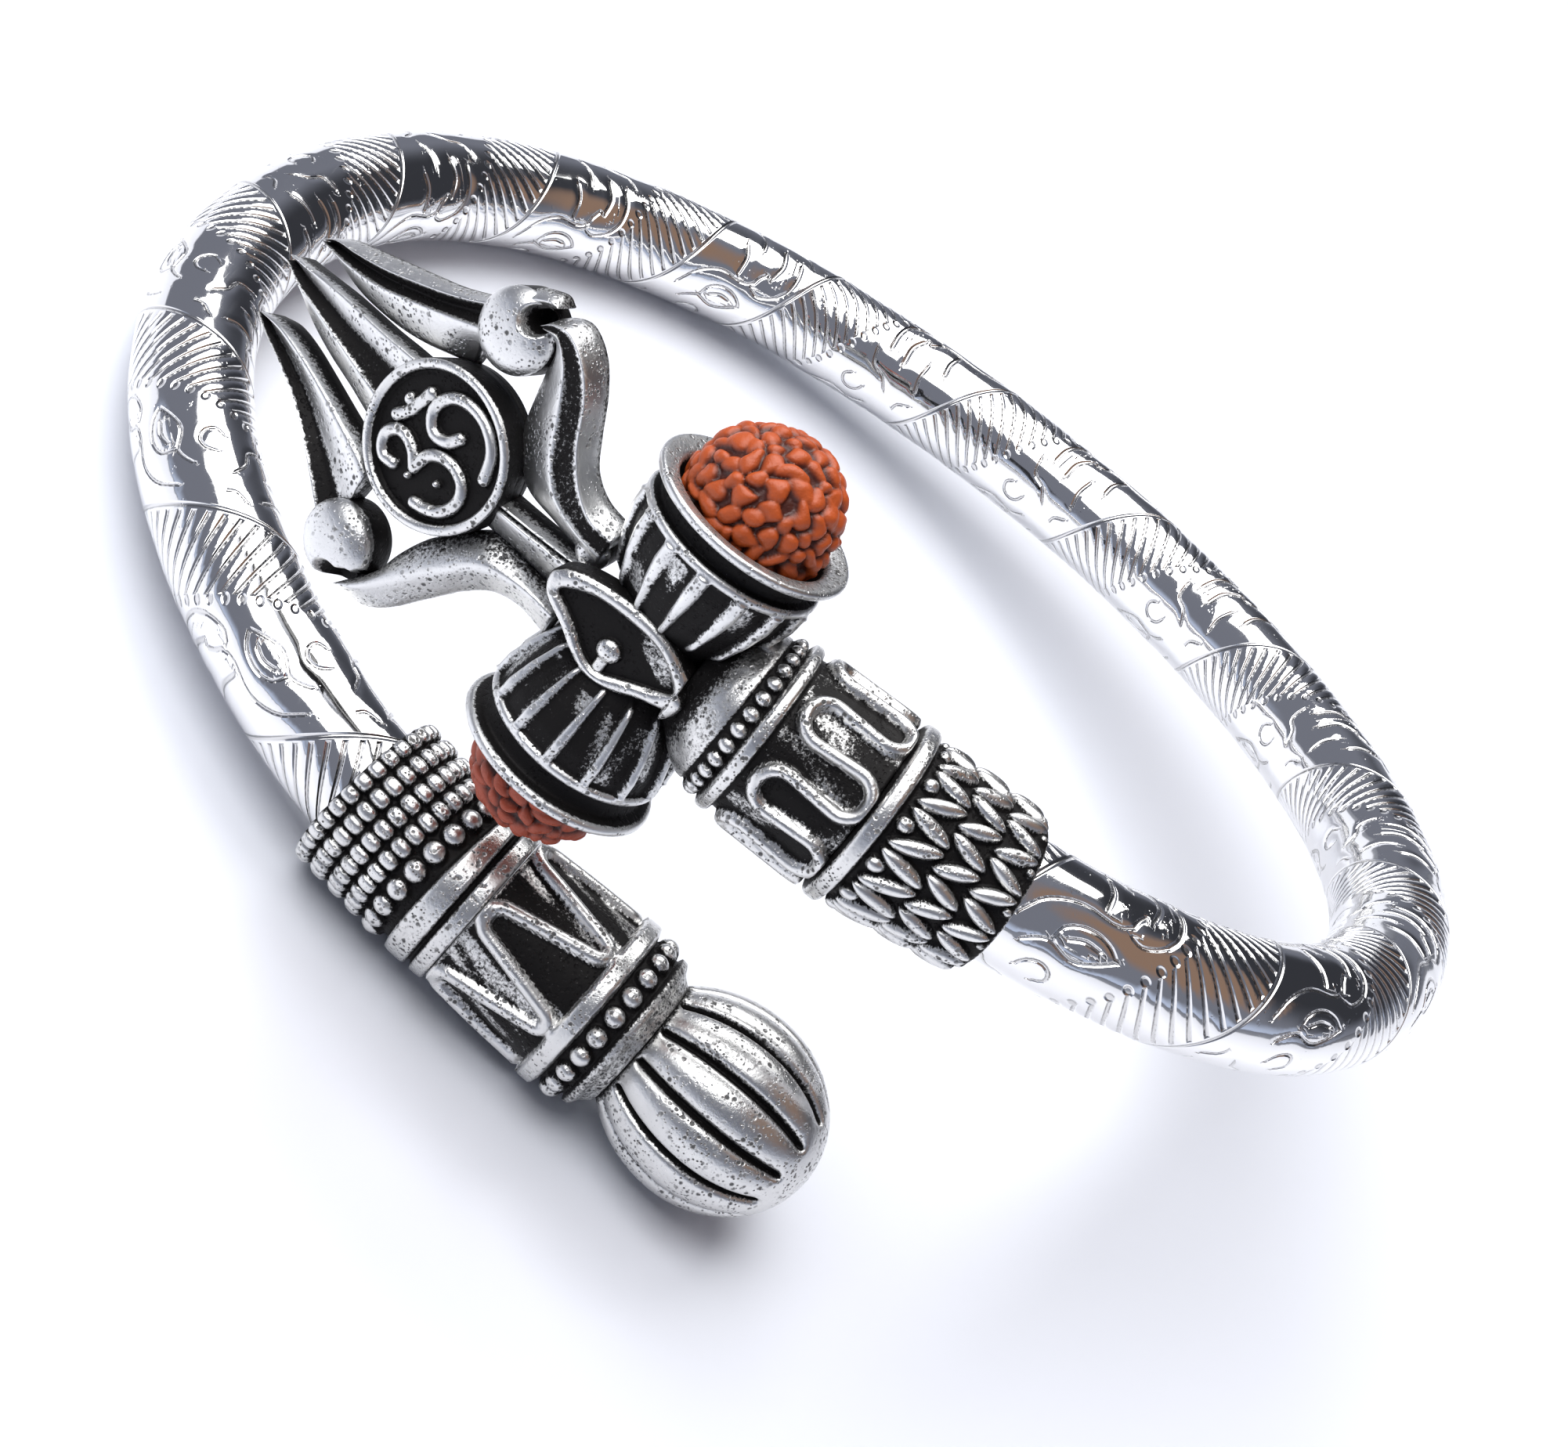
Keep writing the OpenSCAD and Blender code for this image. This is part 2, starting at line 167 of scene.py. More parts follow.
def lineDistance(x, y, line):
    # shortest distance from each (x, y) to a line of short straight steps
    best = np.full(x.shape, 1e9)
    for a, b in zip(line[:-1], line[1:]):
        step = b - a
        length = max(step @ step, 1e-12)
        q = np.clip(((x - a[0]) * step[0] + (y - a[1]) * step[1]) / length, 0, 1)
        best = np.minimum(best, (x - a[0] - q * step[0])**2 + (y - a[1] - q * step[1])**2)
    return np.sqrt(best)


def ramp(x, low, high):
    # 0 below low, 1 above high, smooth between
    q = np.clip((x - low) / (high - low), 0, 1)
    return q * q * (3 - 2 * q)


def plateau(x, low, up, down, end):
    # 0 below low, 1 between up and down, 0 above end
    return ramp(x, low, up) * (1 - ramp(x, down, end))


def roundTop(distance, halfWidth):
    # height of a half round of this half width at a distance from its middle, 0 to 1
    return np.sqrt(np.clip(1 - (distance / halfWidth)**2, 0, 1))


def wrapped(angles, first, pitch):
    # angle from the nearest of a row of places at first, first + pitch, ...
    return (angles - first + pitch / 2) % pitch - pitch / 2


def arcFrom(a, first, count, radius):
    # millimetres round a sleeve from the nearest of count places, of which one is at the angle first
    return wrapped(a, first, 360 / count) * np.pi / 180 * radius


def beadRow(s, a, station, first, count, radius, beadRadius):
    # a row of half balls round a sleeve of this radius, 0 to 1
    return roundTop(np.hypot(s - station, arcFrom(a, first, count, radius)), beadRadius)


def wobble(x, y, z, scale, seed):
    # a smooth uneven value of about -1 to 1: a sum of eight sine waves in seeded directions
    waves = np.random.default_rng(seed)
    total = np.zeros(np.shape(x))
    for _ in range(8):
        k = waves.normal(size=3) / scale
        total += np.sin(k[0] * x + k[1] * y + k[2] * z + waves.uniform(0, 2 * np.pi))
    return total / 4


def grid(rows, around):
    # every row's value and every angle in degrees, as two arrays
    return np.meshgrid(rows, np.arange(around) * 360 / around, indexing="ij")


def disc(centre, radii, around):
    # rings of points round a centre: their radii and their two coordinates
    r, a = grid(radii, around)
    return r, centre[0] + r * np.cos(np.radians(a)), centre[1] + r * np.sin(np.radians(a))


def spread(values, count):
    # a value for each row, the same all along the row
    return np.repeat(np.asarray(values)[:, None], count, 1)


def gridShape(points, worn):
    # Faces over a grid of points, closed the second way round. Each end of the first way is closed with a
    # fan to its middle. Faces are turned outward by the sign of the volume.
    rows, cols = points.shape[:2]
    i, j = np.arange(rows - 1)[:, None], np.arange(cols)
    jn = (j + 1) % cols
    quads = np.stack([i * cols + j, i * cols + jn, (i + 1) * cols + jn, (i + 1) * cols + j], -1)
    quads = quads.reshape(-1, 4)
    last, middle = (rows - 1) * cols, np.full(cols, rows * cols)
    fans = np.vstack([np.stack([jn, j, middle], -1), np.stack([last + j, last + jn, middle + 1], -1)])
    flat = np.vstack([points.reshape(-1, 3), [points[0].mean(0), points[-1].mean(0)]])
    worn = np.concatenate([worn.ravel(), [worn[0].mean(), worn[-1].mean()]])
    corners = np.vstack([quads[:, [0, 1, 2]], quads[:, [0, 2, 3]], fans])
    a, b, c = (flat[corners[:, k]] - flat.mean(0) for k in range(3))
    if np.einsum("ij,ij->i", a, np.cross(b, c)).sum() < 0:
        quads, fans = quads[:, ::-1], fans[:, ::-1]
    return {"points": flat, "quads": quads, "fans": fans, "worn": worn}


def joined(shapes):
    # several closed shapes as one
    counts = np.cumsum([0] + [len(shape["points"]) for shape in shapes])
    whole = {key: np.concatenate([shape[key] for shape in shapes]) for key in ("points", "worn")}
    for key in ("quads", "fans"):
        whole[key] = np.vstack([shape[key] + n for shape, n in zip(shapes, counts)])
    return whole


def addPiece(name, shape, node, material, chart=None):
    # makes the mesh in metres, smooth, with its wear on the points and its chart as a UV map
    mesh = bpy.data.meshes.new(name)
    mesh.from_pydata((shape["points"] * mm).tolist(), [], shape["quads"].tolist() + shape["fans"].tolist())
    mesh.polygons.foreach_set("use_smooth", np.ones(len(mesh.polygons), bool))
    wear = mesh.attributes.new("worn", "FLOAT", "POINT")
    wear.data.foreach_set("value", np.clip(shape["worn"], 0, 1).astype(np.float32))
    if chart is not None:
        layer = mesh.uv_layers.new(name="chart")
        layer.data.foreach_set("uv", chart.astype(np.float32).ravel())
    mesh.materials.append(material)
    mesh.validate()
    piece = bpy.data.objects.new(name, mesh)
    scene.collection.objects.link(piece)
    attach(piece, "root")
    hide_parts(node)
    print("made", name, "with", len(mesh.loops) - 2 * len(mesh.polygons), "triangles")
    return piece


# Materials. A value is a number, a colour, a vector or another node's output.

def feed(socket, value):
    # links an output to the socket, or sets the socket to a constant
    if isinstance(value, bpy.types.NodeSocket):
        socket.id_data.links.new(value, socket)
    else:
        socket.default_value = (*value, 1) if socket.type == "RGBA" else value


def addNode(tree, kind, inputs, **settings):
    # a shader node with its settings, and each of its inputs fed
    node = tree.nodes.new("ShaderNode" + kind)
    for name, value in settings.items():
        setattr(node, name, value)
    for name, value in inputs.items():
        feed(node.inputs[name], value)
    return node


def calc(operation, *values):
    # one Math node, in the tree of the first output among its values
    tree = next(value for value in values if isinstance(value, bpy.types.NodeSocket)).id_data
    return addNode(tree, "Math", dict(enumerate(values)), operation=operation).outputs[0]


def times(a, b):
    return calc("MULTIPLY", a, b)


def plus(a, b):
    return calc("ADD", a, b)


def minus(a, b):
    return calc("SUBTRACT", a, b)


def blendNumber(factor, low, high):
    # low where factor is 0, high where it is 1
    inputs = {"Value": factor, "To Min": low, "To Max": high}
    return addNode(factor.id_data, "MapRange", inputs).outputs["Result"]


def stepUp(value, low, high):
    # 0 below low, 1 above high
    inputs = {"Value": value, "From Min": low, "From Max": high}
    return addNode(value.id_data, "MapRange", inputs, interpolation_type="SMOOTHSTEP").outputs["Result"]


def blendColour(factor, low, high):
    return addNode(factor.id_data, "Mix", {0: factor, 6: low, 7: high}, data_type="RGBA").outputs[2]


def noiseValue(where, scale, detail=3.0, roughness=0.5):
    inputs = {"Scale": scale, "Detail": detail, "Roughness": roughness, "Vector": where}
    return addNode(where.id_data, "TexNoise", inputs).outputs["Fac"]


def newGroup(name, numbers, outputs):
    # a shader node group with a vector input, number inputs and number outputs
    tree = bpy.data.node_groups.new(name, "ShaderNodeTree")
    tree.interface.new_socket("Where", in_out="INPUT", socket_type="NodeSocketVector")
    for socketName, default in numbers.items():
        socket = tree.interface.new_socket(socketName, in_out="INPUT", socket_type="NodeSocketFloat")
        socket.default_value = default
    for socketName in outputs:
        tree.interface.new_socket(socketName, in_out="OUTPUT", socket_type="NodeSocketFloat")
    return tree, tree.nodes.new("NodeGroupInput").outputs, tree.nodes.new("NodeGroupOutput").inputs


def placeGroup(group, where, **numbers):
    return addNode(where.id_data, "Group", {"Where": where, **numbers}, node_tree=group).outputs


def scuffGroup():
    # fine scratches and uneven polish: two stretched noises and one cloudy one
    tree, given, result = newGroup("scuffedPolish", {"Size": 1.0}, ("Cloud", "Scratches"))
    inputs = {0: given["Where"], "Scale": given["Size"]}
    scaled = addNode(tree, "VectorMath", inputs, operation="SCALE").outputs[0]
    feed(result["Cloud"], noiseValue(scaled, 260, 4, 0.6))
    lines = []
    for turn, stretch in (((0.3, 0.5, 0.2), (1, 14, 14)), ((1.2, 0.1, 0.9), (16, 1, 16))):
        mapping = addNode(tree, "Mapping", {"Rotation": turn, "Scale": stretch, "Vector": scaled})
        lines.append(stepUp(noiseValue(mapping.outputs[0], 300, 2), 0.6, 0.75))
    feed(result["Scratches"], calc("MAXIMUM", *lines))
    return tree


def pitsGroup():
    # cast pitting: round pits of two sizes where a cloudy noise lets them be
    tree, given, result = newGroup("castPits", {"Amount": 0.5}, ("Pits", "Grain"))
    found = []
    for scale, shift in ((2300, 0.1), (4800, 0.6)):
        shifted = addNode(tree, "VectorMath", {0: given["Where"], 1: (shift, shift, shift)}, operation="ADD")
        cells = addNode(tree, "TexVoronoi", {"Scale": scale, "Vector": shifted.outputs[0]})
        found.append(minus(1.0, stepUp(cells.outputs["Distance"], 0.16, 0.34)))
    allowed = plus(noiseValue(given["Where"], 620, 3, 0.6), times(given["Amount"], 0.4))
    feed(result["Pits"], times(calc("MAXIMUM", *found), stepUp(allowed, 0.62, 0.8)))
    feed(result["Grain"], noiseValue(given["Where"], 6200, 3, 0.75))
    return tree


engraving = {
    "bandPitch": 11.127,     # from one hatched band to the next, square to them
    "hatchMiddle": 8.60,     # where the first hatched band's middle line is
    "bandSlope": 0.65,       # rise of the bands for each millimetre round the tube
    "turnShift": 17.12,      # how far the pattern slides along the band in one turn round the tube
    "turnedBelow": 6.0,      # the tube was cut from both ends: below this the pattern is turned half round
    "seam": 135,             # degrees round the tube, on its hidden side, where the chart begins
    "hatchHalf": 2.2,
    "hatchDepth": 0.075,
    "hatchPitch": 0.82,
    "hatchSlant": 0.48,
    "hatchBow": 0.05,
    "hatchInset": 0.25,      # how far inside the borders the cuts end
    "smoothLineAt": 0.12,    # this line and the dots are so far outside the hatched band
    "dotsAt": 0.1,
    "dotPitch": 0.86,
    "dotRadius": 0.09,
    "dotNarrow": 0.7,        # below 1 the dots are wider across the band
    "flowerHalf": 0.3,
    "lineWidth": 0.17,
    "flowerPitch": 12.4,
    "flowerPhase": (3.1, 0.7),
    "flowerDepth": 0.055,
    # the flowered band's lines: half width, then points along and across the band
    "flowers": [
        (0.13, [(-4.2, 0.95), (-3.6, 0.75), (-3.1, 0.4), (-3.0, -0.3), (-2.75, -0.95), (-2.0, -1.45),
            (-1.1, -1.85)]),
        (0.13, [(-1.1, -1.85), (-0.95, -1.2), (-1.1, -0.4), (-1.6, 0.3), (-2.3, 0.65), (-2.95, 0.45)]),
        (0.16, [(-2.4, 0.1), (-1.8, -0.35), (-1.5, -1.0)]),
        (0.13, [(-4.9, -1.45), (-4.4, -1.6), (-3.95, -1.1), (-4.0, -0.5), (-4.5, -0.15), (-5.0, -0.2)]),
        (0.12, [(-3.8, 2.25), (-2.6, 2.2), (-1.6, 1.75), (-0.9, 1.15), (-0.55, 0.55), (-0.35, 0.0),
            (0.0, -0.6), (0.6, -0.95)]),
        (0.19, [(0.6, -0.95), (1.1, -0.9), (1.6, -1.0)]),
        (0.13, [(0.2, -1.2), (0.3, -1.8), (0.9, -2.35), (1.5, -2.65)]),
        (0.2, [(1.5, -2.65), (2.3, -2.75), (3.4, -2.4), (4.3, -1.8)]),
        (0.21, [(1.9, -1.4), (3.0, -1.2), (4.0, -0.5)]),
        (0.2, [(0.0, 0.3), (1.1, 0.75), (1.8, 1.35)]),
        (0.16, [(2.6, 0.4), (3.5, 0.9), (4.1, 1.6)]),
        (0.13, [(5.2, -2.2), (5.9, -1.3), (5.7, -0.3), (6.1, 0.7)]),
        (0.13, [(4.9, 2.3), (5.6, 1.9), (6.3, 2.1)]),
    ],
}


def engravedGroup():
    # Cuts in the tube, on a chart in millimetres: X across the helical bands, Y along them. A hatched band
    # has slanted cuts across it, a smooth line on one border and a row of dots on the other. The lines of
    # the flowered band come from the mesh as distances. Cut is 1 in the middle of a cut.
    e = engraving
    tree, given, result = newGroup("engravedBands", {"Side": 9.0, "Near": 9.0}, ("Cut",))
    split = addNode(tree, "SeparateXYZ", {0: given["Where"]})
    x, y = split.outputs[0], split.outputs[1]

    def size(value):
        return calc("ABSOLUTE", value)

    def repeat(value, pitch):
        return times(minus(calc("FRACT", calc("DIVIDE", value, pitch)), 0.5), pitch)

    hand = minus(times(calc("GREATER_THAN", x, e["turnedBelow"]), 2.0), 1.0)
    band = plus(calc("DIVIDE", minus(x, e["hatchMiddle"]), e["bandPitch"]), 0.5)
    whole = calc("FLOOR", band)
    f = times(hand, times(minus(minus(band, whole), 0.5), e["bandPitch"]))
    g = times(hand, minus(y, times(whole, e["turnShift"])))
    stroke = minus(g, plus(times(f, e["hatchSlant"]), times(times(f, f), e["hatchBow"])))
    inside = e["hatchHalf"] - e["hatchInset"]
    hatch = calc("MAXIMUM", size(repeat(stroke, e["hatchPitch"])), minus(size(f), inside))
    smoothBorder = size(plus(f, e["hatchHalf"] + e["smoothLineAt"]))
    dotX = times(minus(f, e["hatchHalf"] + e["dotsAt"]), e["dotNarrow"])
    dotY = repeat(g, e["dotPitch"])
    dots = minus(calc("SQRT", plus(times(dotX, dotX), times(dotY, dotY))), e["dotRadius"])
    flowers = calc("MAXIMUM", size(given["Side"]), minus(given["Near"], e["flowerHalf"]))
    nearest = calc("MINIMUM", calc("MINIMUM", hatch, smoothBorder), calc("MINIMUM", dots, flowers))
    feed(result["Cut"], minus(1.0, stepUp(nearest, 0.02, e["lineWidth"])))
    return tree


scuffs, pits, engravedBands = scuffGroup(), pitsGroup(), engravedGroup()


def startMaterial(name):
    # a material with one shader: gives its node tree, the shader's inputs and the place in the object
    material = bpy.data.materials.new(name)
    material.use_nodes = True
    tree = material.node_tree
    tree.nodes.clear()
    shader = addNode(tree, "BsdfPrincipled", {})
    addNode(tree, "OutputMaterial", {"Surface": shader.outputs[0]})
    return material, tree, shader.inputs, addNode(tree, "TexCoord", {}).outputs["Object"]


def bumpFrom(shader, height, depth, **below):
    # height 0 to 1 times depth in millimetres, over the normal below it
    bump = addNode(height.id_data, "Bump", {"Distance": depth * mm, "Height": height, **below}).outputs[0]
    feed(shader["Normal"], bump)
    return bump


def meshValue(tree, name):
    # a number that the mesh keeps at its points
    return addNode(tree, "Attribute", {}, attribute_name=name).outputs["Fac"]


def platedSilverMaterial():
    # mirror plating: faint polish marks and dents, cuts a little duller
    material, tree, shader, where = startMaterial("platedSilver")
    chart = addNode(tree, "UVMap", {}, uv_map="chart").outputs[0]
    cut = placeGroup(engravedBands, chart, Side=meshValue(tree, "side"), Near=meshValue(tree, "near"))["Cut"]
    polish = placeGroup(scuffs, where, Size=0.8)
    pitted = placeGroup(pits, where, Amount=0.12)
    feed(shader["Base Color"], blendColour(cut, (0.93, 0.925, 0.92), (0.7, 0.69, 0.68)))
    shader["Metallic"].default_value = 1
    rough = plus(blendNumber(polish["Cloud"], 0.03, 0.1), times(polish["Scratches"], 0.05))
    feed(shader["Roughness"], blendNumber(cut, rough, 0.2))
    soft = bumpFrom(shader, noiseValue(where, 210, 2, 0.5), 0.07)
    bumpFrom(shader, minus(minus(1.0, cut), times(pitted["Pits"], 0.12)), 0.1, Normal=soft)
    return material


def antiqueSilverMaterial(name, bright, dark, polishRange, pitAmount):
    # cast silver: black in the recesses, worn bright where the mesh says, pitted and grainy
    material, tree, shader, where = startMaterial(name)
    pitted = placeGroup(pits, where, Amount=pitAmount)
    polish = placeGroup(scuffs, where, Size=1.0)
    uneven = times(minus(pitted["Grain"], 0.5), 1.45)
    cloudy = times(minus(polish["Cloud"], 0.5), 0.5)
    raised = stepUp(plus(meshValue(tree, "worn"), plus(uneven, cloudy)), 0.3, 0.74)
    raised = times(raised, minus(1.0, times(pitted["Pits"], 0.85)))
    tint = blendColour(polish["Cloud"], bright, tuple(0.8 * value for value in bright))
    feed(shader["Base Color"], blendColour(raised, dark, tint))
    feed(shader["Metallic"], blendNumber(raised, 0.35, 1.0))
    rough = plus(blendNumber(polish["Cloud"], *polishRange), times(polish["Scratches"], 0.12))
    feed(shader["Roughness"], blendNumber(raised, 0.5, rough))
    shader["Specular IOR Level"].default_value = 0.15
    bumpFrom(shader, minus(times(pitted["Grain"], 0.35), times(pitted["Pits"], 0.8)), 0.05)
    return material


def seedMaterial(name, high, low):
    # red-brown seed: lighter and slightly oiled on the lumps, dark in the furrows
    material, tree, shader, where = startMaterial(name)
    cloud = noiseValue(where, 700, 4, 0.6)
    level = plus(meshValue(tree, "worn"), times(minus(cloud, 0.5), 0.5))
    feed(shader["Base Color"], blendColour(stepUp(level, 0.1, 0.75), low, high))
    feed(shader["Roughness"], blendNumber(cloud, 0.34, 0.56))
    shader["Coat Weight"].default_value = 0.08
    shader["Coat Roughness"].default_value = 0.25
    fine = noiseValue(where, 3200, 4, 0.65)
    bumpFrom(shader, plus(times(cloud, 0.6), times(fine, 0.4)), 0.12)
    return material


recessBlack = (0.012, 0.011, 0.011)
platedSilver = platedSilverMaterial()
antiqueSilver = antiqueSilverMaterial("antiqueSilver", (0.87, 0.865, 0.85), recessBlack, (0.19, 0.38), 0.55)
satinSilver = antiqueSilverMaterial("satinSilver", (0.88, 0.88, 0.875), recessBlack, (0.24, 0.42), 0.5)
upperSeedRed = seedMaterial("upperSeedRed", (0.5, 0.085, 0.014), (0.07, 0.012, 0.005))
lowerSeedRed = seedMaterial("lowerSeedRed", (0.38, 0.052, 0.013), (0.05, 0.008, 0.004))
print("materials ready")


# The engraved tube.

def chartOf(s, v):
    # across and along the helical bands, in millimetres, from the distance along and the arc round the tube
    girth = 2 * np.pi * ring["tubeRadius"]
    rise = engraving["bandPitch"] / np.cos(np.arctan(engraving["bandSlope"])) / girth
    slope = np.arctan(rise)
    return (s + rise * v) * np.cos(slope), (v - rise * s) * np.cos(slope)


def bandPlace(x, y, shift):
    # Across and along the nearest hatched band (shift 0.5) or flowered band (shift 0), turned half round on
    # the tail's side, and the phase of the flowers there.
    e = engraving
    band = (x - e["hatchMiddle"]) / e["bandPitch"] + shift
    whole = np.floor(band)
    hand = np.where(x > e["turnedBelow"], 1, -1)
    across, along = hand * (band - whole - 0.5) * e["bandPitch"], hand * (y - whole * e["turnShift"])
    return across, along, np.where(hand > 0, *e["flowerPhase"])


def hatchCuts(x, y):
    # depth of the hatched bands' cuts, 0 to 1: a raised cosine along the band, ending at its borders
    e = engraving
    f, g, _ = bandPlace(x, y, 0.5)
    inside = 1 - ramp(np.abs(f), e["hatchHalf"] - 0.4, e["hatchHalf"])
    stroke = g - e["hatchSlant"] * f - e["hatchBow"] * f * f
    return inside * (0.5 - 0.5 * np.cos(2 * np.pi * stroke / e["hatchPitch"]))**1.5


def flowerDistance(x, y):
    # Distance to the nearest line of the flowers, with a sign for its side, and without one. It is scaled
    # so that every line is 0.16 mm half wide.
    p, q, phase = bandPlace(x, y, 0.0)
    m = wrapped(q + phase, 0, engraving["flowerPitch"])
    side, near = np.full(x.shape, 9.0), np.full(x.shape, 9.0)
    for halfWidth, points in engraving["flowers"]:
        line = smoothLine(points, 12)
        for a, b in zip(line[:-1], line[1:]):
            step = b - a
            t = np.clip(((m - a[0]) * step[0] + (p - a[1]) * step[1]) / (step @ step), 0, 1)
            away = np.hypot(m - a[0] - t * step[0], p - a[1] - t * step[1]) * 0.16 / halfWidth
            hand = np.where((m - a[0]) * step[1] > (p - a[1]) * step[0], 1, -1)
            side = np.where(away < near, hand * away, side)
            near = np.minimum(away, near)
    return side, near


def buildTube():
    # A round tube along the whole line, from inside one collar to inside the other, with its cuts sunk in it.
    # Angle 0 faces the wrist at the back point, and the bends' rolls don't twist it.
    around, size = ring["around"], ring["tubeRadius"]
    tailEnd, headEnd = tailRim + ring["inSocket"], headRim + ring["inSocket"]
    tailSide = np.linspace(tailEnd, 0, int(tailEnd / ring["step"]), endpoint=False)
    headSide = np.linspace(0, headEnd, int(headEnd / ring["step"]))
    angles = np.radians(engraving["seam"]) + np.linspace(0, 2 * np.pi, around, endpoint=False)
    s = np.concatenate([-tailSide, headSide])
    x, y = chartOf(s[:, None], angles[None, :] * size)
    side, near = flowerDistance(x, y)
    station, spin = np.meshgrid(s, angles, indexing="ij")
    dents = wobble(station, 3 * np.cos(spin), 3 * np.sin(spin), 1.3, 41)
    radius = size - ring["dents"] * np.clip(1 + dents, 0, 2)
    radius = radius - engraving["hatchDepth"] * hatchCuts(x, y)
    radius = radius - engraving["flowerDepth"] * np.exp(-(near / 0.2)**2)
    rings = []
    for stations, walker, rim, hand in ((tailSide, tailWalk, tailRim, -1), (headSide, headWalk, headRim, 1)):
        # the straight stretch inside a collar keeps to the rim's direction
        place, along, inward, rolls = walker(np.minimum(stations, rim - 1e-6))
        place = place + np.maximum(stations - rim, 0)[:, None] * along
        turned = hand * angles[None, :] - rolls[:, None]
        aside = np.cross(along, inward)
        way = np.cos(turned)[..., None] * inward[:, None] + np.sin(turned)[..., None] * aside[:, None]
        part = radius[:len(stations)] if hand < 0 else radius[len(tailSide):]
        rings.append(place[:, None] + part[..., None] * way)
    points = np.concatenate(rings)
    shape = gridShape(points, np.ones(points.shape[:2]))
    # the chart is cut open at the seam: a face that closes the ring has its far corners a turn on
    corners = np.concatenate([shape["quads"].ravel(), shape["fans"].ravel()])
    row, col = np.minimum(corners // around, len(s) - 1), corners % around
    quadCols = shape["quads"] % around
    lastColumn = (quadCols.max(1) == around - 1) & (quadCols.min(1) == 0)
    turnsOver = np.zeros(len(corners), bool)
    turnsOver[:quadCols.size] = np.repeat(lastColumn, 4) & (quadCols.ravel() == 0)
    arc = (angles[0] + (col + around * turnsOver) * (2 * np.pi / around)) * size
    chart = np.stack(chartOf(s[row], arc), -1)
    piece = addPiece("engravedTube", shape, "bangle_tube", platedSilver, chart)
    for name, values in (("side", side), ("near", near)):
        kept = piece.data.attributes.new(name, "FLOAT", "POINT")
        kept.data.foreach_set("value", np.append(values.ravel(), [9, 9]).astype(np.float32))


buildTube()


# The sleeves. An outline is (station, radius) corners. A sleeve goes over from its first straight frame
# to its second between the two bend stations. Beads are: station, first angle, count, the radius that
# they stand on, and their own radius. Ring, foot and rim are where the wear starts and ends, and patches
# are the size and seed of the uneven value that wears the ground.

def sleeveShape(which, piece, relief, stations=None):
    # A turned sleeve: the outline's radius plus the relief's height, at each station and angle in degrees.
    # The relief gives height in millimetres and wear from 0 to 1.
    outline = piece["outline"]
    first, second = (sleeveFrame(which, station) for station in piece["frames"])
    if stations is None:
        start, end = outline[0][0], outline[-1][0]
        stations = np.linspace(start, end, int((end - start) / piece["step"]) + 1)
    s, a = grid(stations, piece["around"])
    height, worn = relief(s, a)
    radius = np.interp(s, *np.transpose(outline)) + height
    return gridShape(bentSleeve(first, second, s, np.radians(a), radius, *piece["bend"]), worn)


collar = {
    "frames": (4.3, 8.6), "bend": (5.9, 7.4), "step": 0.09, "around": 354,
    "outline": [(0.25, 3.2), (0.27, 3.85), (0.4, 4.0), (6.25, 4.02), (6.4, 4.05), (6.5, 4.47),
        (6.7, 4.53), (7.35, 4.53), (7.46, 4.42), (7.52, 4.15), (7.66, 4.15), (7.72, 4.42), (7.85, 4.53),
        (8.5, 4.52), (8.6, 4.4)],
    "radius": 4.35, "columns": 31, "firstColumn": 105.7, "rows": [0.8, 1.9, 3.08, 4.26],
    "rowWidths": [0.98, 1.14, 1.14, 1.14], "beadHeight": 0.55,
    "balls": (5.5, 110.25, 21, 4.35, 0.63), "ballHeight": 0.6,
    "bands": (6.38, 6.5, 8.6, 8.68), "bandGroove": 7.6,
}


def collarRelief(s, a):
    # rows of soft square beads, one row of balls, and two worn plain bands with a groove between them
    c = collar
    height = c["ballHeight"] * beadRow(s, a, *c["balls"])
    across = arcFrom(a, c["firstColumn"], c["columns"], c["radius"])
    halfBead = np.pi * c["radius"] / c["columns"] * 0.97
    for row, width in zip(c["rows"], c["rowWidths"]):
        q = np.abs((s - row) / (width / 2))**3 + np.abs(across / halfBead)**3
        height = np.maximum(height, c["beadHeight"] * np.clip(1 - q, 0, 1)**0.45)
    bands = plateau(s, *c["bands"]) * (0.78 - 0.75 * ramp(np.abs(s - c["bandGroove"]), 0.22, 0.1))
    return height, np.maximum(ramp(height, 0.2, 0.48) * 0.95, bands)


barrel = {
    "frames": (8.6, 8.6), "bend": (9, 10), "step": 0.1, "around": 342,
    "outline": [(8.65, 4.25), (8.72, 4.35), (8.9, 4.2), (14.6, 4.22), (14.78, 4.2), (14.9, 4.75),
        (15.05, 4.9), (15.7, 4.9), (15.84, 4.78), (15.95, 4.28), (17.25, 4.22), (17.35, 4.1),
        (17.5, 4.45), (17.85, 4.4), (18.1, 3.95), (18.6, 3.55)],
    "radius": 4.6, "waves": 6, "firstCrest": 103.0, "low": 8.95, "high": 14.5, "lowBend": 0.85,
    "highBend": 0.55, "wire": 0.43, "wireHeight": 0.5,
    "beads": (16.66, 113.6, 22, 4.6, 0.58), "beadHeight": 0.6,
    "wireEnd": 14.95, "ring": (14.82, 14.9, 15.86, 15.95), "ringWear": 0.85, "foot": (8.72, 8.95),
    "rim": (17.4, 17.6), "patchEnd": 14.8, "patchWear": 0.5, "patches": (0.9, 3), "patchRange": (-0.2, 0.8),
}


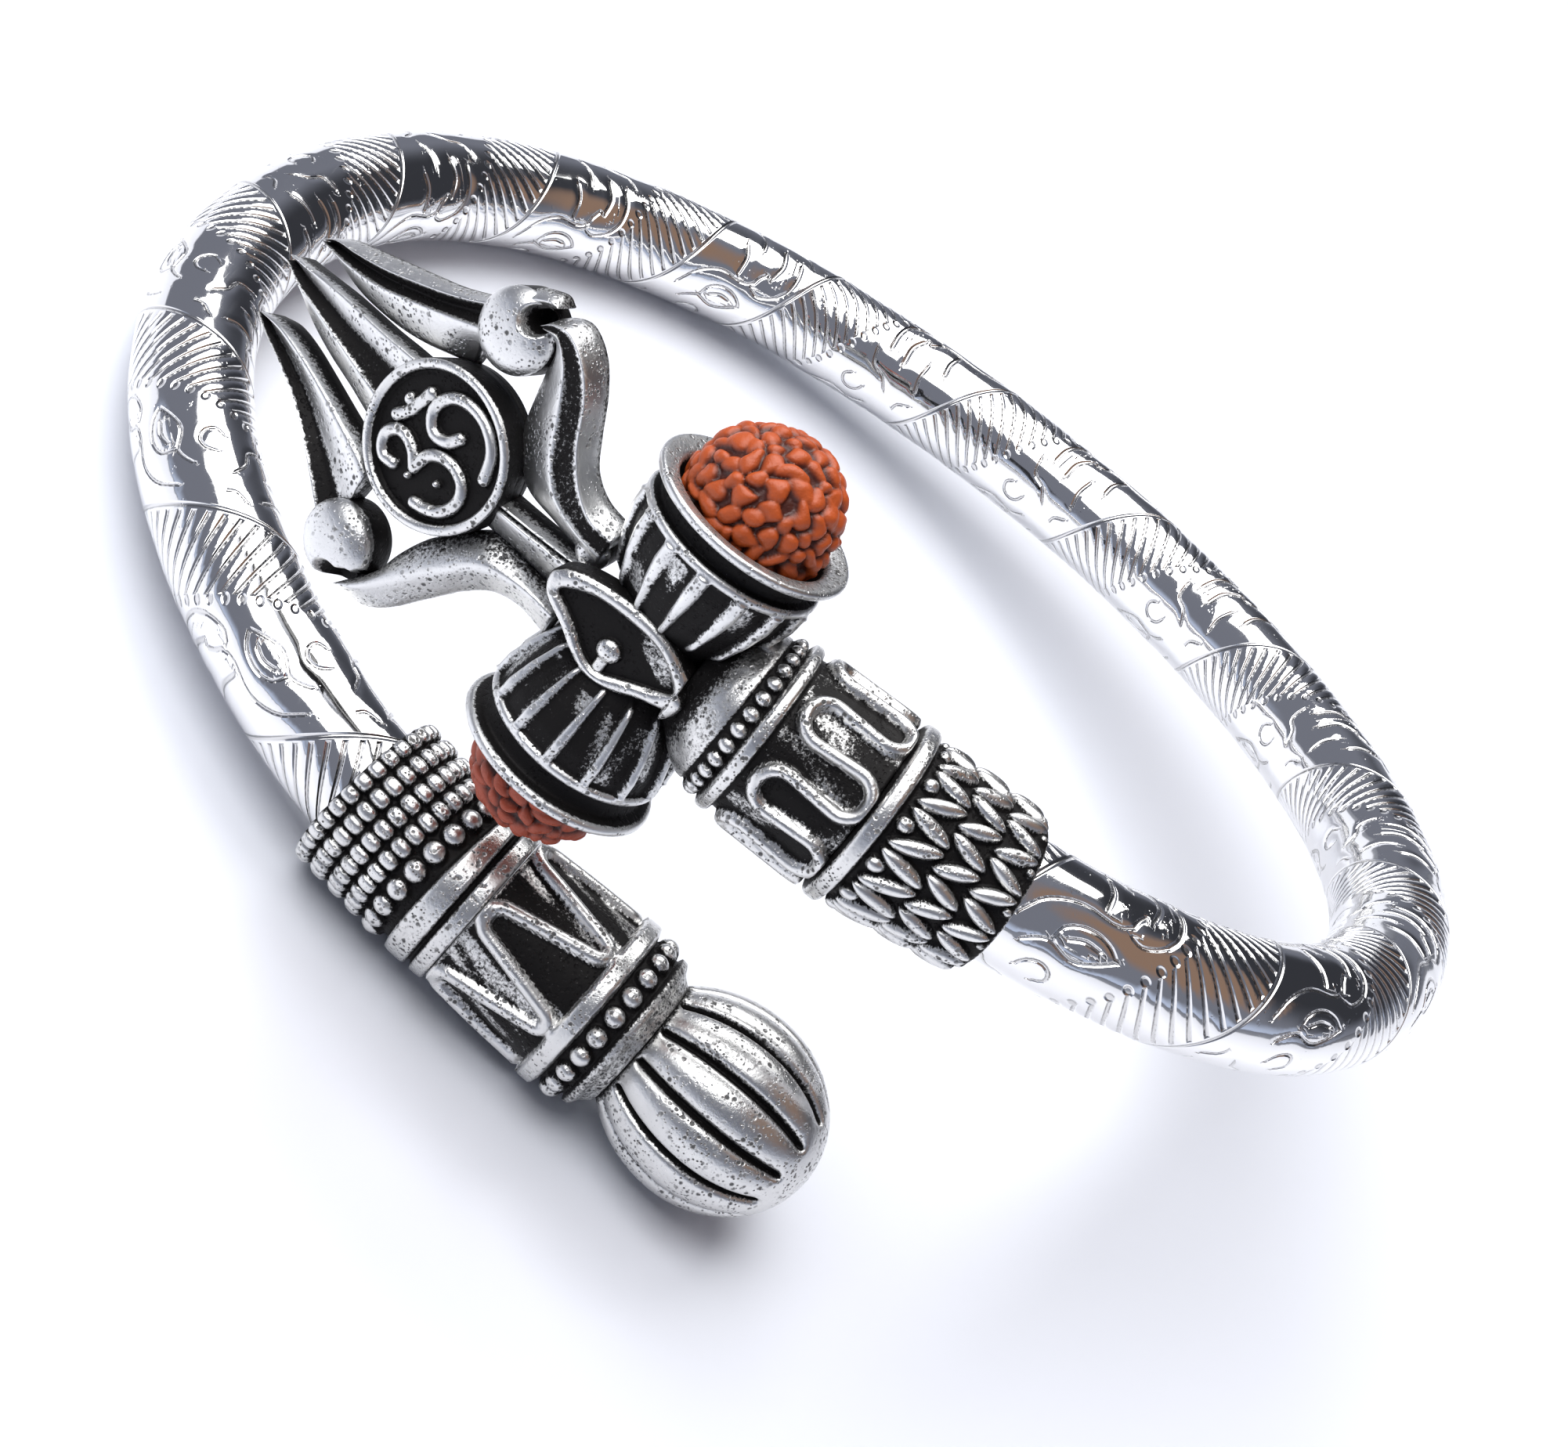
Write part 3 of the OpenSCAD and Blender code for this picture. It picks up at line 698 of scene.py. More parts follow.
def wireLine(wire):
    # A wire that winds round a barrel, over two periods: (station, arc) in millimetres. Straight legs touch
    # the bends at the angle t on either side of each bend's top: t = angle of the line between the two
    # bends' middles, less arccos(sum of the bends' radii / that line's length).
    leg = np.pi * wire["radius"] / wire["waves"]
    highMiddle, lowMiddle = wire["high"] - wire["highBend"], wire["low"] + wire["lowBend"]
    drop = highMiddle - lowMiddle
    t = np.arctan2(leg, -drop) - np.arccos((wire["highBend"] + wire["lowBend"]) / np.hypot(drop, leg))
    turn = np.linspace(-t, t, 15)
    bends = []
    for k in range(-2, 4):
        middle, size = (lowMiddle, -wire["lowBend"]) if k % 2 else (highMiddle, wire["highBend"])
        bends.append(np.stack([middle + size * np.cos(turn), k * leg + abs(size) * np.sin(turn)], -1))
    return np.concatenate(bends)


def woundWire(s, a, wire):
    # the wire's half round, 0 to 1
    x = arcFrom(a, wire["firstCrest"], wire["waves"], wire["radius"])
    return roundTop(lineDistance(s, x, wireLine(wire)), wire["wire"])


def wireRelief(s, a, b, endsWornAndShaded):
    # a winding wire on a pitted ground with worn patches, then a ring and a row of beads
    wire, bead = woundWire(s, a, b) * (s < b["wireEnd"]), beadRow(s, a, *b["beads"])
    patches = 0.1 + b["patchWear"] * ramp(wobble(s, a / 9, 0, *b["patches"]), *b["patchRange"])
    worn = np.maximum.reduce([ramp(wire, 0.1, 0.5), ramp(bead, 0.3, 0.8),
                              b["ringWear"] * plateau(s, *b["ring"]), patches * (s < b["patchEnd"]),
                              # the ends' value is real wear at the barrel's ends, and on the cone satin wear
                              # with painted shade towards the drum
                              endsWornAndShaded])
    return np.maximum(b["wireHeight"] * wire, b["beadHeight"] * bead), worn


def barrelRelief(s, a):
    # the wire is a zigzag with rounded bends, and the barrel's two ends are half worn
    ends = np.maximum(0.5 * (1 - ramp(s, *barrel["foot"])), 0.55 * ramp(s, *barrel["rim"]))
    return wireRelief(s, a, barrel, ends)


melon = {"length": 10.4, "radius": 5.2, "neck": 3.5, "widest": 4.68, "lobes": 12, "firstGroove": 24.5,
         "start": 18.65, "grooveDepth": 0.42, "grooveWidth": 0.2, "crown": 0.34, "rows": 122, "around": 312}


def melonShape():
    # an ellipsoid in two halves with lobes between narrow grooves that end short of the smooth tip
    m = melon
    z, a = grid((m["length"] * (1 - (1 - np.linspace(0, 1, m["rows"]))**1.7))[:-1], m["around"])
    back = m["widest"] / np.sqrt(1 - (m["neck"] / m["radius"])**2)
    front = m["length"] - m["widest"]
    reach = np.where(z < m["widest"], (m["widest"] - z) / back, (z - m["widest"]) / front)
    radius = m["radius"] * np.sqrt(np.clip(1 - reach**2, 0, 1))
    pitch = 360 / m["lobes"]
    off = np.abs(wrapped(a, m["firstGroove"], pitch))
    inLobes = plateau(z, 0.0, 0.4, m["length"] - 1.9, m["length"] - 1.25)
    groove = np.exp(-(off * np.pi / 180 * radius / m["grooveWidth"])**2) * inLobes
    crown = -m["crown"] * (off / (pitch / 2) - 1)**2 * inLobes
    worn = (0.85 * (1 - ramp(groove, 0.12, 0.5)) - 0.5 * (1 - ramp(z, 0.0, 0.35))
            + 0.06 * wobble(z, a / 20, 0, 1.5, 11))
    radius = radius + crown - m["grooveDepth"] * groove
    base = sleeveFrame("tail", m["start"])
    return gridShape(roundSleeve(base, m["start"] + z, np.radians(a), radius), worn)


braid = {
    "frames": (4.35, 12.125), "bend": (5.6, 7.7), "step": 0.085, "around": 360,
    "outline": [(0.9, 3.2), (0.92, 3.6), (1.05, 3.72), (1.5, 3.78), (7.5, 4.1), (7.62, 4.12),
        (7.75, 4.62), (7.9, 4.76), (8.4, 4.76), (8.55, 4.62), (8.64, 4.3), (8.7, 4.2)],
    "radius": 4.35, "rows": 24, "firstFall": 202.5, "grains": [1.15, 3.15, 5.1], "grainLength": 2.3,
    "slant": 4.8, "halfWidth": 0.47, "height": 0.55, "dots": (7.15, 226.0, 12, 4.35, 0.42),
    "feet": (1.35, 244.0, 12, 4.35, 0.3), "ring": (7.72, 7.8, 8.5, 8.6), "foot": (1.0, 1.12),
}


def braidRelief(s, a):
    # leaf-shaped grains in rows that slant one way and the other, with a row of dots at each end
    b = braid
    best = np.maximum(0.9 * beadRow(s, a, *b["dots"]), 0.6 * beadRow(s, a, *b["feet"]))
    for hand, first in ((1, b["firstFall"]), (-1, b["firstFall"] + 360 / b["rows"])):
        across = arcFrom(a, first, b["rows"] / 2, b["radius"])
        for start in b["grains"]:
            q = (s - start - b["grainLength"] / 2) / (b["grainLength"] / 2)
            middle = hand * b["slant"] * np.pi / 180 * b["radius"] * q
            half = b["halfWidth"] * np.clip(1 - np.abs(q)**2.2, 0, 1)**0.75 + 1e-6
            grain = roundTop(across - middle, half) * np.clip(1 - np.abs(q)**2.6, 0, 1)**0.4
            best = np.maximum(best, grain * (half > 0.02))
    worn = np.maximum.reduce([ramp(best, 0.25, 0.75), 0.9 * plateau(s, *b["ring"]),
                              0.7 * (1 - ramp(s, *b["foot"]))])
    return b["height"] * best, worn


serpentine = {
    "frames": (12.125, 16.9), "bend": (14.0, 17.0), "step": 0.088, "around": 340,
    "coneFrom": 15.7, "coneTo": 18.25, "coneRows": 34,
    "outline": [(8.75, 4.1), (8.8, 4.22), (9.0, 4.2), (14.0, 4.1), (14.1, 4.05), (14.22, 4.45),
        (14.35, 4.52), (14.65, 4.52), (14.8, 4.42), (14.88, 3.95), (15.75, 3.9), (15.85, 4.0),
        (16.1, 3.98), (16.6, 3.75), (17.1, 3.4), (17.7, 2.9), (18.3, 2.6)],
    "radius": 4.5, "waves": 7, "firstCrest": 194.6, "low": 8.85, "high": 13.5, "lowBend": 1.1,
    "highBend": 1.1, "wire": 0.37, "wireHeight": 0.55,
    "beads": (15.3, 197.8, 29, 4.25, 0.41), "beadHeight": 0.42,
    "wireEnd": 14, "ring": (14.18, 14.25, 14.78, 14.86), "ringWear": 0.9, "cone": (15.75, 15.9),
    # next: the span over which the cone goes black towards the drum, painted shade
    "coneShadeSpan": (16.6, 17.7), "patchEnd": 14, "patchWear": 0.45, "patches": (0.8, 5),
    "patchRange": (-0.3, 0.7),
}


def serpentineRelief(s, a):
    # the wire winds in round bends, and the cone after the beads is worn satin and goes black towards the
    # drum: the black is painted shade where the cone narrows into the drum
    cone = ramp(s, *serpentine["cone"]) * (0.68 - 0.6 * ramp(s, *serpentine["coneShadeSpan"]))
    return wireRelief(s, a, serpentine, cone)


coneFrom = serpentine["coneFrom"]
serpentineStations = np.concatenate([
    np.arange(serpentine["outline"][0][0], coneFrom, serpentine["step"]),
    np.linspace(coneFrom, serpentine["coneTo"], serpentine["coneRows"])])
for name, shape, node in (
        ("granulatedCollar", sleeveShape("tail", collar, collarRelief), "tail_collar"),
        ("zigzagBarrel", sleeveShape("tail", barrel, barrelRelief), "tail_barrel"),
        ("melonFinial", melonShape(), "melon_finial"),
        ("braidedCollar", sleeveShape("head", braid, braidRelief), "braid_collar"),
        ("serpentineBarrel", sleeveShape("head", serpentine, serpentineRelief, serpentineStations),
         "serpentine_barrel")):
    addPiece(name, shape, node, antiqueSilver)
print("sleeves made")


# The drum with its eye and seeds.

drum = {
    "ribs": 14, "upperRib": -3.2, "lowerRib": 0.5, "ribHeight": 0.38,
    "step": 0.13, "around": 294,
    "seedAt": 8.25, "seedRadius": 3.9, "pebbles": 170, "pebbleHeight": 0.46, "seedRows": 122,
    "seedAround": 220, "pushes": 25, "push": 0.0006,
    # half of the drum from its waist, over the lip and down the inside of the cup: (height, radius)
    "outside": [(0, 2.4), (0.7, 2.52), (1.4, 2.86), (2.4, 3.4), (3.7, 3.95), (4.9, 4.3), (5.75, 4.36),
        (5.84, 4.45), (5.9, 4.6), (6.05, 4.66), (6.25, 4.62), (6.35, 4.5), (6.4, 4.1), (6.9, 4.15),
        (7.3, 4.3), (7.36, 4.75), (7.44, 4.98), (7.6, 5.08), (7.8, 5.06)],
    "inside": [(7.89, 4.95), (7.86, 4.6), (7.8, 4.3), (7.75, 4.1), (7.6, 3.97), (7.0, 3.8), (5.9, 3.0),
        (4.9, 1.6), (4.6, 0.4)],
}


def drumFrame():
    # the drum's middle, and its directions along the sleeve, up to the upper seed and outward
    place, along, inward, _ = headWalk(np.array([waistAt]))
    return place[0], along[0], -np.cross(along[0], inward[0]), -inward[0]


def buildDrum():
    # the cup's outline turned about the drum's axis, above and below, with ribs between waist and ring
    outline = np.array(drum["outside"] + drum["inside"])
    t = np.concatenate([[0], np.cumsum(np.hypot(*np.diff(outline, axis=0).T))])
    fine = np.arange(0, t[-1], drum["step"])
    height, radius = np.interp(fine, t, outline[:, 0]), np.interp(fine, t, outline[:, 1])
    w, a = grid(np.concatenate([-height[:0:-1], height]), drum["around"])
    r = spread(np.concatenate([radius[:0:-1], radius]), drum["around"])
    onInside = spread(np.concatenate([fine[:0:-1], fine]) > t[len(drum["outside"])], drum["around"])
    up = np.abs(w)
    first = np.where(w > 0, drum["upperRib"], drum["lowerRib"])
    halfRib = np.where(w > 0, 0.16 + 0.24 * ramp(w, 1.7, 5.2), 0.17 + 0.1 * ramp(-w, 1.7, 5.2))
    rib = roundTop(arcFrom(a, first, drum["ribs"], r), halfRib) * plateau(up, 1.6, 2.3, 5.8, 5.95) * ~onInside
    ringTop = ramp(r, 4.4, 4.55) * (up < 6.36) * (up > 5.8)
    patches = (0.08 + 0.5 * ramp(wobble(w, a / 12, 0, 0.7, 9), 0.0, 0.9)) * (up < 5.7) * (up > 2.6)
    worn = np.maximum.reduce([0.85 * ramp(rib, 0.2, 0.75), 0.9 * ringTop,
                              0.95 * ramp(r, 4.7, 4.95) * (up > 7.3), 0.62 * onInside * ramp(r, 3.85, 4.0),
                              0.25 * (1 - ramp(up, 0.5, 1.8)), patches])
    r = (r + drum["ribHeight"] * rib)[..., None]
    middle, along, upward, out = drumFrame()
    turned = np.cos(np.radians(a))[..., None] * out + np.sin(np.radians(a))[..., None] * along
    addPiece("drum", gridShape(middle + w[..., None] * upward + r * turned, worn), "damru",
             satinSilver)


eye = {
    "outer": [(-3.05, 0.6), (-2, 1.3), (-0.6, 1.9), (1, 2.1), (3, 1.8), (4.4, 1.2), (4.9, 0.5),
        (4.5, -0.4), (3.2, -1.1), (2.2, -1.75), (1.1, -2.15), (-0.1, -1.95), (-1.4, -1.3), (-2.7, -0.75)],
    "inner": [(-2.3, 0), (-1.5, 0.75), (-0.5, 1.2), (1, 1.3), (2.5, 1.15), (3.5, 0.7), (4.1, 0.15),
        (3.3, -0.3), (2.5, -0.75), (1.7, -1.35), (0.9, -1.6), (0, -1.2), (-1, -0.7), (-1.8, -0.35)],
    "front": 3.4, "floor": 2.95, "back": 1.9, "pupil": (0.95, -0.5), "pupilRadius": 0.6, "tear": (0.9, -1.5),
    "tearRadius": 0.3, "around": 260,
}


def buildEye():
    # rings from the middle of the eye to its outline: floor, lid rolled between the two outlines, wall
    around = eye["around"]
    outer, inner = smoothLine(eye["outer"], around, True), smoothLine(eye["inner"], around, True)
    middle = np.array(eye["pupil"])
    inFloor, onLid = np.linspace(0, 1, 42)[1:], np.linspace(0, 1, 22)[1:]
    uw = np.array([middle + (inner - middle) * q for q in inFloor]
                  + [inner + (outer - inner) * q for q in onLid])
    u, w = uw[..., 0], uw[..., 1]
    isFloor = spread(np.arange(len(uw)) < len(inFloor), around)
    lid = spread(np.concatenate([np.zeros(len(inFloor)), roundTop(2 * onLid - 1, 1)]), around)
    ball = roundTop(np.hypot(u - middle[0], w - middle[1]), eye["pupilRadius"])
    drop = roundTop(lineDistance(u, w, np.array([eye["pupil"], eye["tear"]])), eye["tearRadius"])
    o = eye["floor"] + (eye["front"] - eye["floor"]) * lid + isFloor * np.maximum(0.5 * ball, 0.28 * drop)
    patch = 0.5 * ramp(wobble(u, w, 0, 0.6, 4) + w - 0.3, 0.2, 0.9) * isFloor
    worn = np.maximum.reduce([ramp(lid, 0.25, 0.7), isFloor * ramp(ball, 0.25, 0.6),
                              isFloor * 0.9 * ramp(drop, 0.3, 0.7), patch])
    wall = spread(np.linspace(0, 1, 10)[1:], around)
    uw = np.concatenate([uw, np.repeat(outer[None], len(wall), 0)])
    o = np.concatenate([o, eye["floor"] + (eye["back"] - eye["floor"]) * wall])
    shape = gridShape(ornament(uw[..., 0], uw[..., 1], o), np.concatenate([worn, 0.25 * (1 - wall)]))
    addPiece("eyeBoss", shape, "eye_boss", antiqueSilver)


def buildSeed(name, node, hand, material, seed):
    # A ball with long pebbles lying on it in seeded places and directions: height is the greatest of
    # sqrt(1 - (along / half length)^2 - (across / half width)^2) times each pebble's own height.
    rng = np.random.default_rng(seed)
    places = rng.normal(size=(drum["pebbles"], 3))
    places /= np.linalg.norm(places, axis=1)[:, None]
    for _ in range(drum["pushes"]):
        # every place moves away from the others, the nearer ones most
        gaps = places[:, None] - places[None]
        far = np.linalg.norm(gaps, axis=-1) + np.eye(len(places)) * 9
        places += drum["push"] * (gaps / far[..., None]**3).sum(1)
        places /= np.linalg.norm(places, axis=1)[:, None]
    p, a = grid(np.linspace(0, np.pi, drum["seedRows"])[1:-1], drum["seedAround"])
    a = np.radians(a)
    ball = np.stack([np.sin(p) * np.cos(a), np.sin(p) * np.sin(a), np.cos(p)], -1)
    bent = ball + 0.06 * np.stack([wobble(*np.moveaxis(ball, -1, 0), 0.13, seed + k) for k in range(3)], -1)
    lump = np.zeros(p.shape)
    for place in places:
        lengthwise = np.cross(place, rng.normal(size=3))
        lengthwise /= np.linalg.norm(lengthwise)
        sideways = np.cross(place, lengthwise)
        half = rng.uniform(0.5, 0.95), rng.uniform(0.4, 0.62)
        away = (bent - place) * drum["seedRadius"]
        d = (away @ lengthwise / half[0])**2 + (away @ sideways / half[1])**2 + (away @ place / 0.9)**2
        lump = np.maximum(lump, rng.uniform(0.72, 1.0) * np.sqrt(np.clip(1 - d, 0, 1)))
    fine = wobble(*np.moveaxis(ball, -1, 0), 0.05, seed + 9)
    radius = drum["seedRadius"] - drum["pebbleHeight"] * (1 - lump) + 0.02 * fine - 0.03
    middle, along, up, out = drumFrame()
    turned = ball @ np.array([along, up, out])
    centre = middle + hand * drum["seedAt"] * up
    shape = gridShape(centre + np.minimum(radius, drum["seedRadius"])[..., None] * turned, lump)
    addPiece(name, shape, node, material)


buildDrum()
buildEye()
buildSeed("upperRudraksha", "rudraksha_upper", 1, upperSeedRed, 21)
buildSeed("lowerRudraksha", "rudraksha_lower", -1, lowerSeedRed, 22)
print("drum made")


# The medallion and the trident.

medal = {
    "centre": (12.65, 0), "radius": 3.95, "rimWidth": 0.52, "front": 2.3, "floor": 1.8, "back": 0.5,
    "stroke": 0.34, "rows": 78, "wallRows": 5, "around": 312,
    "wires": ("hook", "three", "tail", "crescent"),
    "hook": [(9.95, 0.7), (10.4, 1.9), (11.3, 2.6), (12.3, 2.75), (13.2, 2.45), (13.7, 1.8),
        (13.75, 1.1), (13.3, 0.5), (12.9, 0.4), (12.3, 0.65), (11.95, 1.2)],
    "three": [(11.9, -2.7), (11.3, -2.5), (10.7, -2.1), (10.35, -1.5), (10.3, -0.9), (10.6, -0.3),
        (11.2, 0), (11.8, 0), (12.3, -0.2), (12.7, -0.6), (12.9, -1.4)],
    "tail": [(12.9, -1.5), (13.4, -1.0), (14, -0.75), (14.5, -0.8), (14.85, -1.1), (15, -1.5),
        (14.8, -2), (14.4, -2.3), (13.85, -2.2)],
    "crescent": [(14.35, 1.65), (14.5, 0.9), (14.7, 0.2), (15.1, -0.4)],
    "dots": [((15.05, 0.65), 0.27, 0.36), ((11.55, -1.2), 0.2, 0.2), ((12.9, -2.0), 0.2, 0.2)],
}


def buildMedal():
    # a round disc: raised rim, sunk floor, and the sign as round wires on the floor
    m = medal
    onTop = np.linspace(0.05, m["radius"] - 0.02, m["rows"])
    radii = np.concatenate([onTop, np.full(m["wallRows"], m["radius"])])
    r, u, w = disc(m["centre"], radii, m["around"])
    away = np.minimum.reduce([lineDistance(u, w, smoothLine(m[key], 40)) for key in m["wires"]])
    sign = roundTop(away, m["stroke"])
    for (cu, cw), ru, rw in m["dots"]:
        sign = np.maximum(sign, np.sqrt(np.clip(1 - ((u - cu) / ru)**2 - ((w - cw) / rw)**2, 0, 1)))
    rim = roundTop(np.abs(r - (m["radius"] - m["rimWidth"] / 2)), m["rimWidth"] / 2 + 0.03)
    rim = np.where(r > m["radius"] - 0.04, 0.35, rim)
    top = m["floor"] + (m["front"] - m["floor"]) * np.maximum(sign * 0.9, rim**0.7)
    drop = spread(np.concatenate([0 * onTop, np.linspace(0.12, 1, m["wallRows"])]), m["around"])
    points = ornament(u, w, top * (1 - drop) + m["back"] * drop)
    worn = np.maximum(ramp(sign, 0.3, 0.75), ramp(rim, 0.3, 0.7)) * (1 - 0.97 * ramp(drop, 0.02, 0.25))
    addPiece("omMedallion", gridShape(points, worn), "om_medallion", antiqueSilver)


def railShape(rails, samples, across, rounding):
    # A limb between rails: each rail is a smooth line of (u, w, o, wear) points, and rail follows rail
    # round the limb's section. Between two rails the surface is straight, and then every crease is
    # rounded a little.
    lines = np.array([smoothLine(np.array(rail, float), samples) for rail in rails])
    following = np.roll(lines, -1, axis=0)
    q = (np.arange(across) / across)[None, :, None, None]
    section = (lines[:, None] * (1 - q) + following[:, None] * q).reshape(len(rails) * across, samples, 4)
    for _ in range(rounding):
        place = section[..., :3]
        section[..., :3] = (np.roll(place, 1, 0) + 2 * place + np.roll(place, -1, 0)) / 4
    section = section.transpose(1, 0, 2)
    points = ornament(section[..., 0], section[..., 1], section[..., 2])
    return gridShape(points, section[..., 3])


def prongSection(wallWearAndShade, outer, inner, flankWear, backWear):
    # A prong's rails in order: outer wall and ridge, groove, inner ridge and flank. Outer and inner are the
    # slopes on either side of the groove: place between the two lines, height and wear.
    return [("outerWall", "back", 0.1), ("outerWall", 0.5, wallWearAndShade), ("outerRidge", 1.5, 1),
            (("outerRidge", "groove", outer[0]), *outer[1:]), ("groove", 0.9, 0),
            (("groove", "innerRidge", inner[0]), *inner[1:]), ("innerRidge", 1.5, 1),
            ("flank", 0.5, flankWear), ("flank", "back", backWear)]


trident = {
    "back": -0.15,
    "shaftEnds": (4.2, 9.3),
    "upper": {
        "outerWall": [(14.6, 7.1), (15.75, 6.33), (17.27, 5.42), (18.5, 4.83), (20.4, 3.95),
            (22.5, 2.95), (24.0, 2.2), (24.6, 1.6)],
        "outerRidge": [(14.6, 6.8), (15.94, 5.85), (17.2, 5.09), (18.3, 4.5), (20.35, 3.45), (22.4, 2.6),
            (23.8, 2.1), (24.5, 1.5)],
        "groove": [(14.6, 6.1), (15.78, 5.38), (17.23, 4.5), (18.6, 3.82), (20.35, 3.0), (22.4, 2.25),
            (23.7, 1.85), (24.45, 1.5)],
        "innerRidge": [(14.3, 5.5), (15.69, 4.77), (16.72, 4.25), (18, 3.6), (20.3, 2.5), (22.4, 1.85),
            (23.6, 1.6), (24.45, 1.45)],
        "flank": [(14.3, 3.45), (16.03, 2.6), (17.16, 2.12), (18.39, 1.7), (19.8, 1.35), (21.6, 1.05),
            (23.4, 1.05), (24.4, 1.4)],
        "section": prongSection(0.6, (0.35, 1.3, 0.1), (0.7, 1.25, 0.1), 1, 0.2),
    },
    "middle": {
        "outerWall": [(15.5, 2.0), (17, 1.75), (18.8, 1.35), (20.3, 1.05), (21.9, 0.7), (23.4, 0.27),
            (25.6, -0.4)],
        "outerRidge": [(15.5, 1.95), (17, 1.65), (18.8, 1.27), (20.3, 1.0), (21.9, 0.65), (23.4, 0.23),
            (25.6, -0.45)],
        "groove": [(15.5, 0.6), (17, 0.2), (18.6, 0.0), (20.7, -0.34), (22.4, -0.5), (24, -0.65),
            (25.6, -0.7)],
        "innerRidge": [(15.5, -1.1), (17, -1.05), (18.1, -1.0), (20.3, -0.9), (22.4, -0.92), (24, -0.98),
            (25.6, -0.8)],
        "flank": [(15.5, -2.6), (17, -2.55), (18.9, -2.35), (21.0, -2.25), (23.2, -2.0), (24.5, -1.6),
            (25.6, -0.95)],
        # the middle prong's outer wall gets little wear, so it comes out dark: painted shade on the wall's
        # shadowed side
        "section": prongSection(0.15, (0.65, 1.15, 0.9), (0.75, 1.3, 0.1), 0.7, 0.1),
    },
    "lower": {
        "outerWall": [(15.2, -8.1), (16.1, -7.5), (18.3, -5.9), (20.3, -4.85), (22.4, -4.3), (24, -4.05),
            (25.2, -3.75)],
        "outerRidge": [(15.0, -7.85), (15.95, -7.2), (18.3, -5.68), (20.3, -4.68), (22.4, -4.17),
            (24, -3.97), (25.2, -3.7)],
        "groove": [(14.8, -7.0), (15.65, -6.4), (18.5, -5.0), (20.5, -4.32), (22.6, -3.98), (24, -3.87),
            (25.15, -3.65)],
        "innerRidge": [(14.9, -4.1), (15.75, -3.8), (18.3, -3.28), (20.3, -3.05), (22.0, -3.02),
            (23.6, -3.15), (25.1, -3.6)],
        "flank": [(14.9, -3.8), (15.7, -3.4), (18, -3.1), (20.5, -2.86), (22.3, -2.8), (23.8, -2.98),
            (25.1, -3.55)],
        "section": prongSection(0.7, (0.3, 1.3, 0.1), (0.25, 0.98, 0.9), 0.1, 0.1),
    },
    "upperArm": {
        "outer": [(3.9, 3.35), (5.45, 3.52), (6.64, 4.22), (7.52, 5.54), (8.5, 7.2), (9.63, 8.45),
            (11, 9.0), (12.0, 8.5), (12.3, 7.9)],
        "edge": [(3.9, 3.0), (5.2, 3.05), (6.35, 3.75), (7.5, 5.05), (8.5, 6.9), (9.5, 8.0), (10.9, 8.7),
            (11.8, 8.35), (12.2, 7.9)],
        "ridge": [(3.9, 1.95), (5.5, 2.1), (7.1, 2.6), (8.1, 3.6), (8.9, 5.0), (9.6, 6.3), (10.2, 7.3),
            (11.2, 8.1), (12.0, 7.9)],
        "inner": [(3.9, 0.95), (6.7, 1.16), (8.6, 1.35), (9.8, 2.3), (10.5, 3.4), (10.9, 4.7),
            (11.2, 6.0), (11.4, 7.1), (12.1, 7.6)],
        "section": [("outer", "back", 0.2), ("outer", 0.7, 0.8), ("edge", 1.95, 1),
            (("edge", "ridge", 0.22), 1.86, 0.22), (("edge", "ridge", 0.78), 1.88, 0.22),
            ("ridge", 2.0, 0.95), ("inner", 0.8, 0.9), ("inner", "back", 0.15)],
    },
    "lowerArm": {
        "outer": [(3.9, -3.36), (5.57, -3.2), (6.9, -3.63), (7.94, -4.63), (8.65, -5.64), (9.4, -6.76),
            (10.28, -8.07), (11.25, -9.0), (12.2, -9.28), (12.9, -9.1)],
        "ridge": [(3.9, -1.75), (5.6, -1.75), (7.2, -2.2), (8.14, -2.85), (8.9, -3.85), (9.8, -5.0),
            (10.36, -5.85), (11.1, -7.0), (11.9, -8.1), (12.7, -8.8)],
        "inner": [(3.9, -1.4), (5.6, -1.36), (7.25, -1.25), (8.42, -1.36), (9.33, -2.1), (10.09, -3.1),
            (10.8, -4.1), (11.41, -5.6), (11.75, -7.0), (12.6, -8.5)],
        "section": [("outer", "back", 0.2), ("outer", 0.7, 0.75), ("ridge", 2.0, 0.85),
            ("inner", 1.0, 0.35), ("inner", "back", 0.15)],
    },
    "upperKnob": {"centre": (13.2, 6.6), "radius": 2.0, "wall": 1.2, "top": 2.3,
                  "hollows": [(12.55, 7.85, 0.62)]},
    "lowerKnob": {"centre": (14.0, -7.4), "radius": 1.95, "wall": 1.2, "top": 2.3,
                  "hollows": [(13.2, -8.9, 0.75), (12.4, -8.4, 0.6), (12.0, -7.7, 0.3)]},
    "horn": {
        "outer": [(15.1, 6.7), (14.5, 7.7), (13.8, 8.6), (13.2, 9.0), (12.6, 9.25), (12.15, 9.05)],
        "ridge": [(14.4, 6.5), (14.0, 7.4), (13.5, 8.2), (13.0, 8.68), (12.5, 8.98), (12.12, 9.0)],
        "inner": [(13.9, 6.4), (13.5, 7.2), (13.15, 7.9), (12.8, 8.35), (12.4, 8.65), (12.12, 8.95)],
        "section": [("outer", 0.25, 0.3), ("outer", 0.9, 0.5), ("ridge", 1.9, 1.0), ("inner", 1.3, 0.7),
            ("inner", 0.25, 0.05)],
    },
    "lug": {"centre": (4.4, 1.6), "radius": 0.85, "wall": 1.0, "top": 1.5, "hollows": []},
}


def limbShape(limb, samples, across, rounding):
    # the limb's section gives its rails in order: a rail or a place between two, its height and its wear
    rails = []
    for where, o, worn in limb["section"]:
        first, second, share = (where, where, 0) if isinstance(where, str) else where
        points = np.array(limb[first]) * (1 - share) + np.array(limb[second]) * share
        height = trident["back"] if o == "back" else o
        rails.append([(u, w, height, worn) for u, w in points])
    return railShape(rails, samples, across, rounding)


